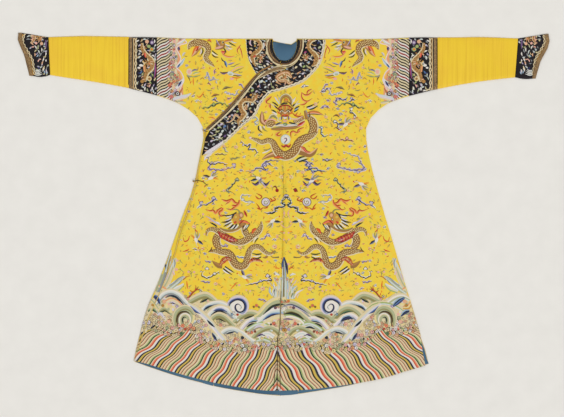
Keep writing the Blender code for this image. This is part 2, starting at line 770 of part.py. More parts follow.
def build_sleeve(side):
    """The dark band, trim, pleated extension, horse-hoof cuff and its trim, as flattened tubes."""
    data = SLEEVE[side]
    for piece, colour in (("band", "dark_satin"), ("trim", "brocade")):
        sections = [
            (straight_section((x, top), (x, bottom)), 0, SLEEVE_CROWN)
            for x, top, bottom in data[piece]
        ]
        tube(f"sleeve_{piece}_{side}", sections, colour)
    sections = []
    for i in range(2 * PLEATS + 1):
        rise = PLEAT_HEIGHT if i % 2 else 0
        sections.append((sleeve_section(side, i / (2 * PLEATS)), rise, SLEEVE_CROWN))
    tube(f"sleeve_extension_{side}", sections, "yellow_plain")
    seam = straight_section(*data["cuff_seam"])
    edge = even_line(smooth_line(data["cuff_edge"], 3), 10)
    edge = [edge[round(i * (len(edge) - 1) / 6)] for i in range(7)]
    rim = even_line(smooth_line(data["outer_edge"], 3), 10)
    rim = [rim[round(i * (len(rim) - 1) / 6)] for i in range(7)]
    sections = []
    for share in (0, 0.25, 0.5, 0.75, 1):
        across = [a.lerp(b, share) for a, b in zip(seam, edge)]
        across[-1] -= Vector((0, data["cuff_sag"] * math.sin(math.pi * share)))
        sections.append((across, 0, SLEEVE_CROWN))
    tube(f"cuff_{side}", sections, "dark_satin")
    outward = 1 if side == "left" else -1
    start = [p + Vector((outward * GAP, 0)) for p in edge]
    tube(f"cuff_trim_{side}", [(start, 0, SLEEVE_CROWN), (rim, 0, SLEEVE_CROWN)], "brocade")


def build_toggles():
    """Ball buttons and their loops at the neck, under the arm and at the waist."""
    for name, x, y, base in BUTTONS:
        ball(f"{name}_button", (x, y, base + BALL_RADIUS), "gilt_ball")
    for name, route in LOOPS.items():
        placed = []
        for x, y, rise in route:
            placed.append((x, y, over_top(Vector((max(x, -350), y))) + rise + CORD_RADIUS))
        cord(f"{name}_loop", placed, CORD_RADIUS, "dark_cord")


def main():
    build_linings()
    build_halves()
    build_overlap()
    build_bands()
    build_neck()
    build_closing()
    for side in ("right", "left"):
        build_sleeve(side)
    build_toggles()


for old in list(bpy.data.objects):
    bpy.data.objects.remove(old, do_unlink=True)
ROBE = bpy.data.collections.new("dragon_robe")
bpy.context.scene.collection.children.link(ROBE)
SIDE_LINES = {side: smooth_line(points, EDGE_STEP) for side, points in SIDE.items()}
SHOULDER_LINES = {side: even_line(points, EDGE_STEP) for side, points in SHOULDER.items()}
UNDERFLAP_LINE = smooth_line(UNDERFLAP_EDGE, EDGE_STEP)
main()
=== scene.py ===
"""A Chinese dragon robe laid flat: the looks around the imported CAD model.

The cloth pieces are finer copies of the CAD shells with soft creases, and the embroidery is thin raised
stitching laid on them. It is drawn on a grid of 4 mm, x to the right and y down; ORIGIN is the robe's origin.
"""

import math
import random
import re

import bmesh
import bpy
import numpy as np
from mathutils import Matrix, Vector
from mathutils.bvhtree import BVHTree


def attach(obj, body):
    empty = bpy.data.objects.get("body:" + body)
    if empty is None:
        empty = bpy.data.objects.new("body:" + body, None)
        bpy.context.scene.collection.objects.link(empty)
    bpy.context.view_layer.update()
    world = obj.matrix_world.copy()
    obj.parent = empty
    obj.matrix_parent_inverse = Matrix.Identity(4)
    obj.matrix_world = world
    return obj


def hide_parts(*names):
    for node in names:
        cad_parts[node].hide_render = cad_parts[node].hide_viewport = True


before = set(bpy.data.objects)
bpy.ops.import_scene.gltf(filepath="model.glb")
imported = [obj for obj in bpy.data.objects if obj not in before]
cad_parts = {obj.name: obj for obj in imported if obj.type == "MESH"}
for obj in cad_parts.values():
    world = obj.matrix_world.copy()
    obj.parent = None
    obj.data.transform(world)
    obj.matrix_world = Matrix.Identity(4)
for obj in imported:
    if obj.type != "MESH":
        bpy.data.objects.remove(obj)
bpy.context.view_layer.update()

GRID = 0.004  # metres
ORIGIN = (283.7, 214.2)
BUTTONS = ((283.5, 66.8), (205.0, 134.0), (194.5, 179.5))  # the cloth stays flat under a button
SHARP = math.radians(40)
SIDES = ("left", "right")


def metres(x, y):
    return (x - ORIGIN[0]) * GRID, (ORIGIN[1] - y) * GRID


# ---------------------------------------------------------------- colours

def rgb(r, g, b):
    """A colour as it looks, 0 to 255, in linear light."""
    return tuple(((c / 255 + 0.055) / 1.055) ** 2.4 if c > 10 else c / 3294.6 for c in (r, g, b)) + (1.0,)


THREAD = {
    "white": rgb(232, 226, 216), "cream": rgb(224, 208, 168), "beige": rgb(222, 200, 152),
    "lilac": rgb(196, 184, 202), "lavender": rgb(216, 206, 218), "purple": rgb(112, 86, 128),
    "magenta": rgb(160, 62, 110), "pink": rgb(232, 176, 160), "peach": rgb(230, 160, 110),
    "red": rgb(204, 66, 46), "salmon": rgb(232, 132, 100), "sand": rgb(230, 212, 150),
    "crimson": rgb(150, 30, 30), "orange": rgb(226, 118, 40), "gold": rgb(206, 152, 62),
    "yellow": rgb(214, 186, 76), "tan": rgb(176, 128, 66), "brown": rgb(156, 112, 58),
    "umber": rgb(104, 72, 44), "olive": rgb(146, 140, 88), "moss": rgb(176, 180, 140),
    "green": rgb(92, 124, 84), "leaf": rgb(160, 178, 110), "pine": rgb(34, 58, 46),
    "maroon": rgb(128, 36, 30), "steel": rgb(26, 46, 64), "navy": rgb(44, 52, 98),
    "ink": rgb(34, 36, 46), "black": rgb(28, 24, 22), "blue": rgb(84, 116, 164),
    "sky": rgb(158, 182, 202), "grey": rgb(146, 150, 150), "mist": rgb(206, 214, 208),
    "rose": rgb(226, 176, 140), "bronze": rgb(50, 46, 20), "satin": rgb(232, 198, 70),
    "straw": rgb(208, 182, 82),
}


# ---------------------------------------------------------------- materials

class Nodes:
    """A material's node tree, with one call for each node."""

    def __init__(self, name):
        self.material = bpy.data.materials.new(name)
        self.material.use_nodes = True
        self.tree = self.material.node_tree
        self.shader = self.tree.nodes["Principled BSDF"]
        self.place = self.add("ShaderNodeTexCoord").outputs["Object"]

    def feed(self, socket, value):
        if isinstance(value, bpy.types.NodeSocket):
            self.tree.links.new(value, socket)
        else:
            socket.default_value = value

    def add(self, kind, inputs=(), **settings):
        node = self.tree.nodes.new(kind)
        for key, value in settings.items():
            setattr(node, key, value)
        for key, value in dict(inputs).items():
            self.feed(node.inputs[key], value)
        return node

    def math(self, operation, *values):
        return self.add("ShaderNodeMath", dict(enumerate(values)), operation=operation).outputs[0]

    def noise(self, scale, detail=2.0, stretch=None):
        place = self.place
        if stretch:
            place = self.add("ShaderNodeMapping", {"Vector": place, "Scale": stretch}).outputs[0]
        inputs = {"Vector": place, "Scale": scale, "Detail": detail}
        return self.add("ShaderNodeTexNoise", inputs).outputs["Fac"]

    def ramp(self, value, *stops):
        node = self.add("ShaderNodeValToRGB", {"Fac": value})
        while len(node.color_ramp.elements) < len(stops):
            node.color_ramp.elements.new(0.5)
        for element, (place, colour) in zip(node.color_ramp.elements, stops):
            element.position, element.color = place, colour
        return node.outputs["Color"]

    def mix(self, factor, a, b, way="MIX"):
        node = self.add("ShaderNodeMix", data_type="RGBA", blend_type=way)
        for socket, value in zip((node.inputs["Factor"], node.inputs[6], node.inputs[7]), (factor, a, b)):
            self.feed(socket, value)
        return node.outputs[2]

    def step(self, value, start, end):
        """From 0 at the start to 1 at the end."""
        return self.add("ShaderNodeMapRange", {"Value": value, "From Min": start, "From Max": end}).outputs[0]

    def span(self, value, low, high):
        """A noise's usual range, spread from low to high."""
        ends = {"Value": value, "From Min": 0.25, "From Max": 0.75, "To Min": low, "To Max": high}
        return self.add("ShaderNodeMapRange", ends).outputs[0]

    def finish(self, colour, roughness, height, depth, **constants):
        for key, value in (("Base Color", colour), ("Roughness", roughness)):
            self.tree.links.new(value, self.shader.inputs[key])
        bump = self.add("ShaderNodeBump", {"Height": height, "Strength": 0.6, "Distance": depth})
        self.tree.links.new(bump.outputs[0], self.shader.inputs["Normal"])
        self.shader.inputs["Specular IOR Level"].default_value = 0.25
        for key, value in constants.items():
            self.shader.inputs[key.replace("_", " ")].default_value = value
        return self.material


def silk(name, colour, shade, weave=(1400, 420, 900), sheen=0.0, rough=(0.42, 0.6), stains=(), foot=None,
         painted_fold_shade=None):
    """Satin: a soft change of tone, fine threads and perhaps faint stains (scale, colour), painted shade in
    fine upright folds, and a foot.

    foot is the colour of the ground under the waves and water stripes, below a line that is level in the
    middle and climbs further out."""
    n = Nodes(name)
    tone = n.mix(n.span(n.noise(3.2, 3), 0, 1), shade, colour)
    for scale, stain in stains:
        tone = n.mix(n.span(n.noise(scale, 2), -0.6, 1.1), tone, stain)
    if painted_fold_shade:  # fine upright streaks of painted shade in the folds
        tone = n.mix(n.span(n.noise(1.0, 2, (150, 3, 1)), -0.75, 0.8), tone, painted_fold_shade)
    if foot:
        place = n.add("ShaderNodeSeparateXYZ", {"Vector": n.place}).outputs
        out = n.math("MAXIMUM", n.math("ABSOLUTE", place["X"]), FOOT_BEND)
        under = n.math("SUBTRACT", n.math("MULTIPLY_ADD", out, FOOT_SLOPE, FOOT_LOW), place["Y"])
        tone = n.mix(n.step(under, -0.004, 0.004), tone, foot)
    thread = n.noise(1.0, 1, weave)
    tone = n.mix(n.span(thread, 0.0, 0.16), tone, shade)
    rough = n.span(n.noise(40), *rough)
    return n.finish(tone, rough, thread, 0.0003, Sheen_Weight=sheen, Sheen_Roughness=0.5)


def brocade():
    """A dark woven trim with fine pale curls and lines in it."""
    n = Nodes("brocade")
    cells = n.add("ShaderNodeTexVoronoi", {"Vector": n.place, "Scale": 330.0}, feature="DISTANCE_TO_EDGE")
    cells = cells.outputs["Distance"]
    pale, mid, dark, darkest = rgb(196, 162, 108), rgb(150, 118, 76), rgb(66, 46, 34), rgb(46, 32, 28)
    curls = n.ramp(cells, (0.0, pale), (0.1, mid), (0.2, dark), (0.6, darkest))
    tone = n.mix(n.span(n.noise(60, 3), 0, 0.6), curls, rgb(104, 80, 54))
    return n.finish(tone, n.span(n.noise(60), 0.5, 0.7), cells, 0.0005, Sheen_Weight=0.1)


def twisted(name, colour, shade, scale=260.0):
    """Cord or piping: slanting strands."""
    n = Nodes(name)
    inputs = {"Vector": n.place, "Scale": scale, "Distortion": 1.5}
    strands = n.add("ShaderNodeTexWave", inputs, bands_direction="DIAGONAL").outputs["Fac"]
    tone = n.mix(strands, shade, colour)
    return n.finish(tone, n.span(n.noise(80), 0.5, 0.7), strands, 0.0004, Sheen_Weight=0.1)


def gilt():
    """A gilt ball with worn, darker spots."""
    n = Nodes("gilt_ball")
    worn = n.noise(420, 3)
    tone = n.mix(n.span(worn, 0, 1), rgb(120, 86, 40), rgb(222, 176, 92))
    return n.finish(tone, n.span(worn, 0.5, 0.28), worn, 0.0002, Metallic=0.9)


def stitched():
    """Silk thread in the colour that each stitch carries."""
    n = Nodes("embroidery")
    colour = n.add("ShaderNodeAttribute", attribute_name="thread").outputs["Color"]
    floss = n.noise(900, 2)
    tone = n.mix(n.span(floss, 0.0, 0.22), colour, rgb(70, 56, 44), "MULTIPLY")
    return n.finish(tone, n.span(floss, 0.42, 0.62), floss, 0.0003, Sheen_Weight=0.1)


FOOT_BEND = 0.42  # metres from the middle to where the foot's top starts to climb
FOOT_SLOPE, FOOT_LOW = 0.6, -0.655  # its climb for each metre, and the height that the climb is counted from
SATIN = silk(
    "yellow_satin", rgb(234, 202, 60), rgb(227, 194, 52), sheen=0.03,
    stains=((38, rgb(238, 188, 56)), (55, rgb(222, 206, 74))), foot=rgb(196, 172, 122))
# the sleeve extensions' satin: its darker upright streaks are painted shade of the pleats
PLAIN = silk(
    "yellow_plain", rgb(238, 202, 52), rgb(230, 192, 42), weave=(300, 900, 900), sheen=0.03,
    stains=((9, rgb(232, 190, 52)),), painted_fold_shade=rgb(214, 170, 40))
LINING = silk("blue_lining", rgb(84, 122, 146), rgb(56, 88, 114))
DARK = silk("dark_satin", rgb(27, 20, 25), rgb(17, 13, 18), weave=(1800, 500, 900), rough=(0.6, 0.75))
BROCADE = brocade()
CREAM = twisted("cream_piping", rgb(238, 222, 180), rgb(214, 192, 146))
YELLOW = twisted("yellow_piping", rgb(232, 206, 120), rgb(206, 176, 92))
GILT = gilt()
CORD = twisted("dark_cord", rgb(72, 52, 40), rgb(40, 30, 26), 420.0)
FLOSS = stitched()


# ---------------------------------------------------------------- cloth

def add(name, mesh, material):
    """A new piece of a mesh, in the scene."""
    mesh.materials.append(material)
    piece = bpy.data.objects.new(name, mesh)
    bpy.context.scene.collection.objects.link(piece)
    return piece


def soft(t):
    """An easy climb from 0 to 1."""
    t = np.clip(t, 0, 1)
    return t * t * (3 - 2 * t)


def crease(x, y):
    """How far the laid cloth rises at a place, all in metres. Every upper layer takes the same rise."""
    far = abs(x)
    rise = 0.0007 * np.sin(23 * x + 9 * y + 2.2 * np.sin(3.1 * y))
    rise = rise + 0.0006 * np.sin(31 * y - 12 * x + 1.7 * np.sin(5.3 * x + 1)) * soft((0.5 - far) / 0.2)
    rise = rise + 0.0009 * np.sin(17 * (x + 0.35 * y) + 4 * y * y) * soft(-y / 0.4)
    # upright folds low on the left of the picture
    rise = rise + 0.0011 * np.sin(52 * x + 7 * y) * soft((-0.35 - y) / 0.25) * soft((-0.12 - x) / 0.2)
    # the centre seam, which leans near the hem
    seam = x + 0.006 + 0.05 * soft((-0.2 - y) / 0.5)
    rise = rise - 0.0012 * np.exp(-((seam / 0.006) ** 2)) * soft((0.1 - y) / 0.15)
    # the fine pleats of the sleeve extensions
    sleeve = soft((far - 0.6) / 0.02) * soft((0.92 - far) / 0.02)
    rise = rise + 0.0005 * np.sin(262 * x + 2 * np.sin(31 * x)) * sleeve
    for bx, by in (metres(*button) for button in BUTTONS):
        rise = rise * soft((np.hypot(x - bx, y - by) - 0.02) / 0.05)
    return rise


dressed = {}


def dress(node, material, cuts, even=12):
    """A finer copy of a CAD cloth piece: its height evened out and creased, its outline kept."""
    bm = bmesh.new()
    bm.from_mesh(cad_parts[node].data)
    bmesh.ops.remove_doubles(bm, verts=bm.verts, dist=2e-6)
    if cuts:
        bmesh.ops.subdivide_edges(bm, edges=bm.edges[:], cuts=cuts, use_grid_fill=True)
    hard = set()
    for edge in bm.edges:
        if not edge.is_manifold or edge.calc_face_angle(0) > SHARP:
            hard.update(v.index for v in edge.verts)
    mesh = bpy.data.meshes.new(node + "_cloth")
    bm.to_mesh(mesh)
    bm.free()
    co = np.empty(len(mesh.vertices) * 3)
    mesh.vertices.foreach_get("co", co)
    co = co.reshape(-1, 3)
    ends = np.empty(len(mesh.edges) * 2, np.int64)
    mesh.edges.foreach_get("vertices", ends)
    a, b = ends.reshape(-1, 2).T
    free = np.ones(len(co), bool)
    free[list(hard)] = False
    count = np.bincount(a, minlength=len(co)) + np.bincount(b, minlength=len(co))
    z = co[:, 2].copy()
    for _ in range(even):
        mean = (np.bincount(a, z[b], len(co)) + np.bincount(b, z[a], len(co))) / count
        z = np.where(free, mean, z)
    z = z + crease(co[:, 0], co[:, 1]) * soft((z - 0.0012) / 0.0016)  # the back layer stays flat
    co[:, 2] = np.maximum(z, 0)
    mesh.vertices.foreach_set("co", co.ravel())
    mesh.polygons.foreach_set("use_smooth", np.ones(len(mesh.polygons), bool))
    mesh.set_sharp_from_angle(angle=SHARP)
    piece = add(node + "_cloth", mesh, material)
    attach(piece, "root")
    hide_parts(node)
    dressed[node] = piece


for name in ("body_left", "body_right", "front_overlap"):
    dress(name, SATIN, 3)
for side in SIDES:
    dress("sleeve_extension_" + side, PLAIN, 1, even=2)
    for name, cuts in (("neck_band_", 2), ("sleeve_band_", 2), ("cuff_", 2), ("neck_binding_", 1)):
        dress(name + side, DARK, cuts)
    for name in ("neck_trim_", "sleeve_trim_", "cuff_trim_"):
        dress(name + side, BROCADE, 2)
    dress("neck_piping_" + side, CREAM, 0, even=0)
dress("closing_trim", BROCADE, 2)
dress("closing_piping", CREAM, 0, even=0)
dress("side_piping", YELLOW, 0, even=0)
for name in ("lining_hem", "lining_neck"):
    dress(name, LINING, 2)

for names, material in (("neck_button arm_button waist_button", GILT), ("arm_loop waist_loop", CORD)):
    for name in names.split():
        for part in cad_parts[name].material_slots:
            part.material = material


# ---------------------------------------------------------------- floor, light and camera

FLOOR_REACH = 40.0  # metres from the middle to each edge
FLOOR_DROP = 0.0002  # metres below the robe
SKY, SKY_POWER = (1.0, 0.985, 0.96, 1), 0.55
LAMPS = {"key": ((40, 0, 35), 1.5, 0.5), "fill": ((50, 0, 215), 0.5, 1.2)}  # turn in degrees, power, softness
LENS, SENSOR = 110.0, 36.0  # millimetres
VIEW_WIDTH = 2.256  # metres of the robe's upper side across the picture
VIEW_CENTRE = (-0.0068, 0.0228, 0.004)
FAR = 200.0


def stage():
    """The plain pale floor under the robe."""
    n = Nodes("floor")
    grain = n.noise(14, 4)
    tone = n.mix(n.span(grain, 0, 1), rgb(226, 224, 219), rgb(231, 229, 224))
    n.finish(tone, n.span(grain, 0.8, 0.9), grain, 0.0004)
    mesh = bpy.data.meshes.new("floor")
    corners = [(x * FLOOR_REACH, y * FLOOR_REACH, 0) for x, y in ((-1, -1), (1, -1), (1, 1), (-1, 1))]
    mesh.from_pydata(corners, [], [(0, 1, 2, 3)])
    floor = add("floor", mesh, n.material)
    floor.location.z = -FLOOR_DROP


def light():
    """An even sky and two soft suns."""
    scene = bpy.context.scene
    world = bpy.data.worlds.new("studio")
    world.use_nodes = True
    sky = world.node_tree.nodes["Background"].inputs
    sky["Color"].default_value, sky["Strength"].default_value = SKY, SKY_POWER
    scene.world = world
    for name, (turn, power, softness) in LAMPS.items():
        lamp = bpy.data.lights.new(name, "SUN")
        lamp.energy, lamp.angle = power, softness
        sun = bpy.data.objects.new(name, lamp)
        sun.rotation_euler = [math.radians(v) for v in turn]
        scene.collection.objects.link(sun)


def camera():
    """A camera straight above, as in the photograph."""
    scene = bpy.context.scene
    data = bpy.data.cameras.new("camera")
    data.lens, data.sensor_width, data.clip_end = LENS, SENSOR, FAR
    eye = bpy.data.objects.new("camera", data)
    x, y, z = VIEW_CENTRE
    eye.location = (x, y, VIEW_WIDTH * LENS / SENSOR + z)
    scene.collection.objects.link(eye)
    scene.camera = eye
    scene.view_settings.view_transform = "Standard"


stage()
light()
camera()


# ---------------------------------------------------------------- stitching

STITCH = 1.3  # the grid length of one stitch
LAYER = 0.00012  # metres for each unit of lift
BACK = 0.0021  # the robe's back layer is below this height
ABOVE = 0.2  # a height clear of the robe, in metres
BLENDS = {  # hues that often run side by side
    "mossy": ("cream", "cream", "moss", "moss", "olive", "olive"),
    "pale": ("cream", "white", "mist", "grey"),
    "silver": ("cream", "white", "lavender", "grey"),
}


def cover():
    """All the dressed cloth, and the node that each of its faces stands for."""
    points, faces, owners = [], [], []
    for node, piece in dressed.items():
        start = len(points)
        points += [v.co.copy() for v in piece.data.vertices]
        faces += [tuple(start + i for i in p.vertices) for p in piece.data.polygons]
        owners += [node] * len(piece.data.polygons)
    return BVHTree.FromPolygons(points, faces), owners


CLOTH, OWNERS = cover()


def blend(hues):
    """The hues across a stitch, from a list or from words joined by +; some words stand for a whole blend."""
    words = hues.split("+") if isinstance(hues, str) else hues
    across = [hue for word in words for hue in BLENDS.get(word, (word,))]
    return across * 2 if len(across) == 1 else across


def spread(values, count):
    """Values spread evenly over a count of places."""
    values = np.atleast_1d(values)
    return np.interp(np.linspace(0, 1, count), np.linspace(0, 1, len(values)), values)


def curve(points, step=STITCH):
    """An even run of places on a smooth line through the points."""
    p = np.array(points, float)
    if len(p) == 2:
        n = max(2, int(np.hypot(*(p[1] - p[0])) / step) + 1)
        return p[0] + np.linspace(0, 1, n)[:, None] * (p[1] - p[0])
    p = np.vstack([2 * p[0] - p[1], p, 2 * p[-1] - p[-2]])
    out = []
    for a, b, c, d in zip(p[:-3], p[1:-2], p[2:-1], p[3:]):
        n = max(2, int(np.hypot(*(c - b)) / step) + 1)
        t = np.linspace(0, 1, n, endpoint=False)[:, None]
        square, cube = 2 * a - 5 * b + 4 * c - d, 3 * b - a - 3 * c + d
        out.append(0.5 * (2 * b + (c - a) * t + square * t**2 + cube * t**3))
    return np.vstack(out + [p[-2:-1]])


def normals(line):
    """The direction across a line at each of its places."""
    way = np.gradient(line, axis=0)
    way /= np.maximum(np.hypot(way[:, 0], way[:, 1]), 1e-9)[:, None]
    return np.stack([-way[:, 1], way[:, 0]], 1)


def along(line):
    """How far each place of a line is from its start, along it."""
    return np.concatenate([[0], np.cumsum(np.hypot(*np.diff(line, axis=0).T))])


class Stitching:
    """One piece of embroidery. Each call adds stitches; lift is in layers above the cloth."""

    taken = set()  # the places on the grid that some stitching already covers

    def __init__(self, name, nodes, mirror=None, material=None):
        self.name, self.nodes, self.mirror, self.material = name, nodes, mirror, material or FLOSS
        self.marks, self.under = True, False  # whether its places are taken; whether it is on the back layer
        self.xy, self.lift, self.faces, self.colours = [], [], [], []

    def grid(self, rails, lifts, hues):
        """Adds rails[k] = a column of places; hues[k] lies between columns k and k + 1.

        It is one hue, or several that follow each other along the column, in a list or parted by slashes."""
        rails = np.asarray(rails, float)
        if self.mirror is not None:
            rails = rails * (-1, 1) + (2 * self.mirror, 0)
        m, n = rails.shape[:2]
        if self.marks:
            for line in (rails[0], rails[-1], rails[m // 2]):
                Stitching.taken.update((int(x), int(y)) for x, y in line)
        start = len(self.xy)
        self.xy += [tuple(p) for p in rails.reshape(-1, 2)]
        self.lift += list(np.asarray(lifts, float).reshape(-1))
        for k in range(m - 1):
            run = hues[k].split("/") if isinstance(hues[k], str) else hues[k]
            for i in range(n - 1):
                a, b = start + k * n + i, start + (k + 1) * n + i
                self.faces.append((a, b, b + 1, a + 1))
                self.colours.append(run[i * len(run) // max(n - 1, 1)])

    def stroke(self, points, width, hues, lift=1.0, crown=2.5, smooth=True):
        """A run of satin stitch along the points: a width, or widths spread along it, and hues across it."""
        line = curve(points) if smooth else np.array(points, float)
        hues, width, out = blend(hues), spread(width, len(line)), normals(line)
        shares = np.linspace(-0.5, 0.5, len(hues) + 1)
        rails = [line + out * (share * width)[:, None] for share in shares]
        lifts = [lift + crown * (1 - (2 * share) ** 2) * np.minimum(width / 3, 1) for share in shares]
        self.grid(rails, lifts, hues)

    def disc(self, x, y, r, hue, lift=1.0, crown=3.0, ry=None, turn=0.0, inner=0.55, rim=None):
        """A raised spot, with a rim of another hue outside the inner share if wanted."""
        n = 10 if r < 3 else 18
        a = np.linspace(0, 2 * np.pi, n + 1)
        ry = r if ry is None else ry
        c, s = math.cos(turn), math.sin(turn)
        ring = np.stack([np.cos(a) * r * c - np.sin(a) * ry * s, np.cos(a) * r * s + np.sin(a) * ry * c], 1)
        rails = [np.full((n + 1, 2), (x, y), float), ring * inner + (x, y), ring + (x, y)]
        top = crown * min(r / 2, 1)
        self.grid(rails, [np.full(n + 1, lift + top * share) for share in (1, 0.7, 0)], [hue, rim or hue])

    def spiral(self, x, y, r, turns, width, hue, lift=2.0, start=0.0):
        """A line that winds out of a place, from the start angle in radians."""
        share = np.linspace(0, 1, int(turns * 16) + 4)
        reach = r * share**0.85
        turn = start + share * turns * 2 * np.pi
        points = np.stack([x + reach * np.cos(turn), y + reach * np.sin(turn)], 1)
        self.stroke(points, width, hue, lift, smooth=False)

    def free(self, x, y, r):
        """Whether nothing is stitched yet within r of a place."""
        if self.mirror is not None:
            x = 2 * self.mirror - x
        return not any((int(x + a), int(y + b)) in Stitching.taken for a in (-r, 0, r) for b in (-r, 0, r))

    def height(self, x, y):
        """How high its own cloth lies at a place, or None beside it."""
        place, normal, face, _ = CLOTH.ray_cast(Vector((*metres(x, y), ABOVE)), Vector((0, 0, -1)))
        if place is None or normal.z < 0.05 or OWNERS[face] not in self.nodes:
            return None
        return place.z if (place.z < BACK) == self.under else None

    def edge(self, inside, outside, z):
        """How far the cloth falls short on the way out, its last place there and its height at that place."""
        (ax, ay), (bx, by) = inside, outside
        low, high = 0.0, 1.0
        for _ in range(6):
            t = (low + high) / 2
            found = self.height(ax + (bx - ax) * t, ay + (by - ay) * t)
            if found is None:
                high = t
            else:
                low, z = t, found
        return (1 - low) * math.hypot(bx - ax, by - ay), [ax + (bx - ax) * low, ay + (by - ay) * low], z

    def lay(self):
        """Every place and the cloth's height there; places just outside the cloth move to its edge."""
        places, tall = [list(p) for p in self.xy], [self.height(*p) for p in self.xy]
        neighbours = {}
        for face in self.faces:
            for i in face:
                if tall[i] is None:
                    neighbours.setdefault(i, set()).update(j for j in face if tall[j] is not None)
        moved = {}
        for i in sorted(neighbours):
            tries = [self.edge(self.xy[j], self.xy[i], tall[j]) for j in sorted(neighbours[i])]
            if tries:
                _, places[i], moved[i] = min(tries, key=lambda found: found[0])
        for i, z in moved.items():
            tall[i] = z
        return places, tall

    def make(self):
        """Lays the stitches on the cloth, cut off where it ends, and makes the piece."""
        places, tall = self.lay()
        keep = [k for k, face in enumerate(self.faces) if all(tall[i] is not None for i in face)]
        used = sorted({i for k in keep for i in self.faces[k]})
        index = {old: new for new, old in enumerate(used)}
        order = 1 if self.mirror is None else -1
        faces = [tuple(index[i] for i in self.faces[k][::order]) for k in keep]
        mesh = bpy.data.meshes.new(self.name)
        mesh.from_pydata([(*metres(*places[i]), tall[i] + self.lift[i] * LAYER) for i in used], [], faces)
        tint = mesh.attributes.new("thread", "FLOAT_COLOR", "CORNER")
        hues = np.array([THREAD[self.colours[k]] for k in keep])
        tint.data.foreach_set("color", np.repeat(hues, 4, axis=0).ravel())
        mesh.polygons.foreach_set("use_smooth", np.ones(len(mesh.polygons), bool))
        piece = add(self.name, mesh, self.material)
        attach(piece, "root")
        return piece


# ---------------------------------------------------------------- tables of stitches

def item(word):
    """A word of a table: a number, numbers that commas join, or the word itself."""
    if word[0].isalpha():
        return word
    values = tuple(float(value) for value in word.split(","))
    return values if len(values) > 1 else values[0]


def items(text):
    return [item(word) for word in text.split()]


def rows(text):
    """A table's rows of items; semicolons and line ends part the rows."""
    return [items(row) for row in re.split("[;\n]", text.strip())]


def sew(s, table):
    """Sews a table of stitches. A row is: hues | lift, and crown where unusual | width or widths | places.

    After a semicolon the same stitch starts again elsewhere. A line that starts with a number goes on with
    the row above it. Where a row starts with a motif's name, that motif's function tells its parts."""
    for row in re.split(r"\n\s*(?=[a-z#])", table.strip()):
        if row.startswith("#"):
            continue
        what, lift, size, lines = row.split("|")
        (kind, *hues), lift, size = what.split(), items(lift), items(size)
        for k, line in enumerate(items(line) for line in lines.split(";")):
            if kind == "locks":
                lock(s, hues[k % len(hues)], lift, size, line)
            elif kind in MOTIFS:
                MOTIFS[kind](s, hues, lift, size, line)
            else:
                s.stroke(line, size, [kind, *hues], *lift)


def spot(s, hues, lift, size, line):
    """A raised spot: hue and perhaps the rim's | lift | radius, other radius, turn, inner share | centre."""
    ((x, y),), shape = line, dict(zip(("ry", "turn", "inner"), size[1:]))
    s.disc(x, y, size[0], hues[0], *lift, rim=hues[-1], **shape)


def dash(s, hues, lift, size, line):
    """The dark tapering hollow under a wave's crest: hues | lift | width | places."""
    s.stroke(line, [0.5, size[0] * 1.3, size[0] * 1.25, 0.5], hues, *lift, 1)


def lock(s, hue, lift, size, line):
    """A lock of hair or a talon: hues, which the row's strokes take in turn | lift | width | places."""
    s.stroke(line, [size[0] * 0.7, size[0], size[0] * 0.8, 0.2], hue, *lift, 1.5)


def flame(s, hues, lift, size, line):
    """A flame, orange with a crimson edge on one side: no hues | lift | width | places."""
    s.stroke(line, [size[0] * 1.1, size[0] * 1.7, size[0] * 1.4, 0.3], ("crimson", "orange", "peach"), *lift)


def hatch(s, hues, lift, widths, line, every=1.9):
    """Short slanting stitches across a limb or flame: hues in turn | lift | widths along it | places."""
    path = curve(line, every)
    side, w = normals(path), spread(widths, len(path))
    for i in range(len(path) - 1):
        ahead, reach = (path[i + 1] - path[i]) * 0.6, side[i] * 0.42 * w[i]
        points = [path[i] - reach - ahead, path[i], path[i] + reach - ahead]
        s.stroke(points, [0.3, 0.8, 0.3], hues[i % len(hues)], *lift, 0.5)


def scales(s, hues, lift, widths, line):
    """A dragon's body: a thin pale edge on the belly's side, rounded skin and a net of scales.

    No hues | lift, and -1 where the belly is on the other side | widths along it | places."""
    lift, belly = (*lift, 1)[:2]
    path = curve(line, 1.0)
    side, w = normals(path), spread(widths, len(path))
    edge = path + side * (0.14 * belly * w + 0.6 * belly)[:, None]
    s.stroke(edge, w * 0.86, "cream", lift - 0.9, smooth=False)
    s.stroke(path, w, ("brown", "tan", "tan", "brown"), lift, 5, smooth=False)
    for i in range(1, len(path) - 2):
        if w[i] < 2.2:
            continue
        ahead = path[i + 1] - path[i]
        ahead = ahead / max(np.hypot(*ahead), 1e-6)
        for share in {1: (-0.3, 0.0, 0.3), 3: (-0.16, 0.16)}.get(i % 4, ()):
            c, high = path[i] + side[i] * share * w[i], lift + 3 + 3 * (1 - (2.6 * share) ** 2)
            near, mid, wide = (side[i] * reach * w[i] for reach in (0.08, 0.12, 0.15))
            s.stroke([c - ahead * 0.4, c + ahead * 0.7], [0.8, 1.0, 0.6], "sand", high, 0.5)
            s.stroke([c + wide - ahead * 0.8, c + mid + ahead * 0.8], 0.5, "umber", high, 0.5)
            s.stroke([c - ahead * 1.3 - near, c - ahead * 1.0 + near], 0.4, "umber", high, 0.5)


# ---------------------------------------------------------------- motifs

def away(x, y, angle, reach):
    """The place at an angle, in degrees from the right and upwards, and a distance."""
    a = math.radians(angle)
    return x + reach * math.cos(a), y - reach * math.sin(a)


def arc(x, y, r, angles):
    """Places on a circle, at angles in radians."""
    return np.stack([x + r * np.cos(angles), y + r * np.sin(angles)], 1)


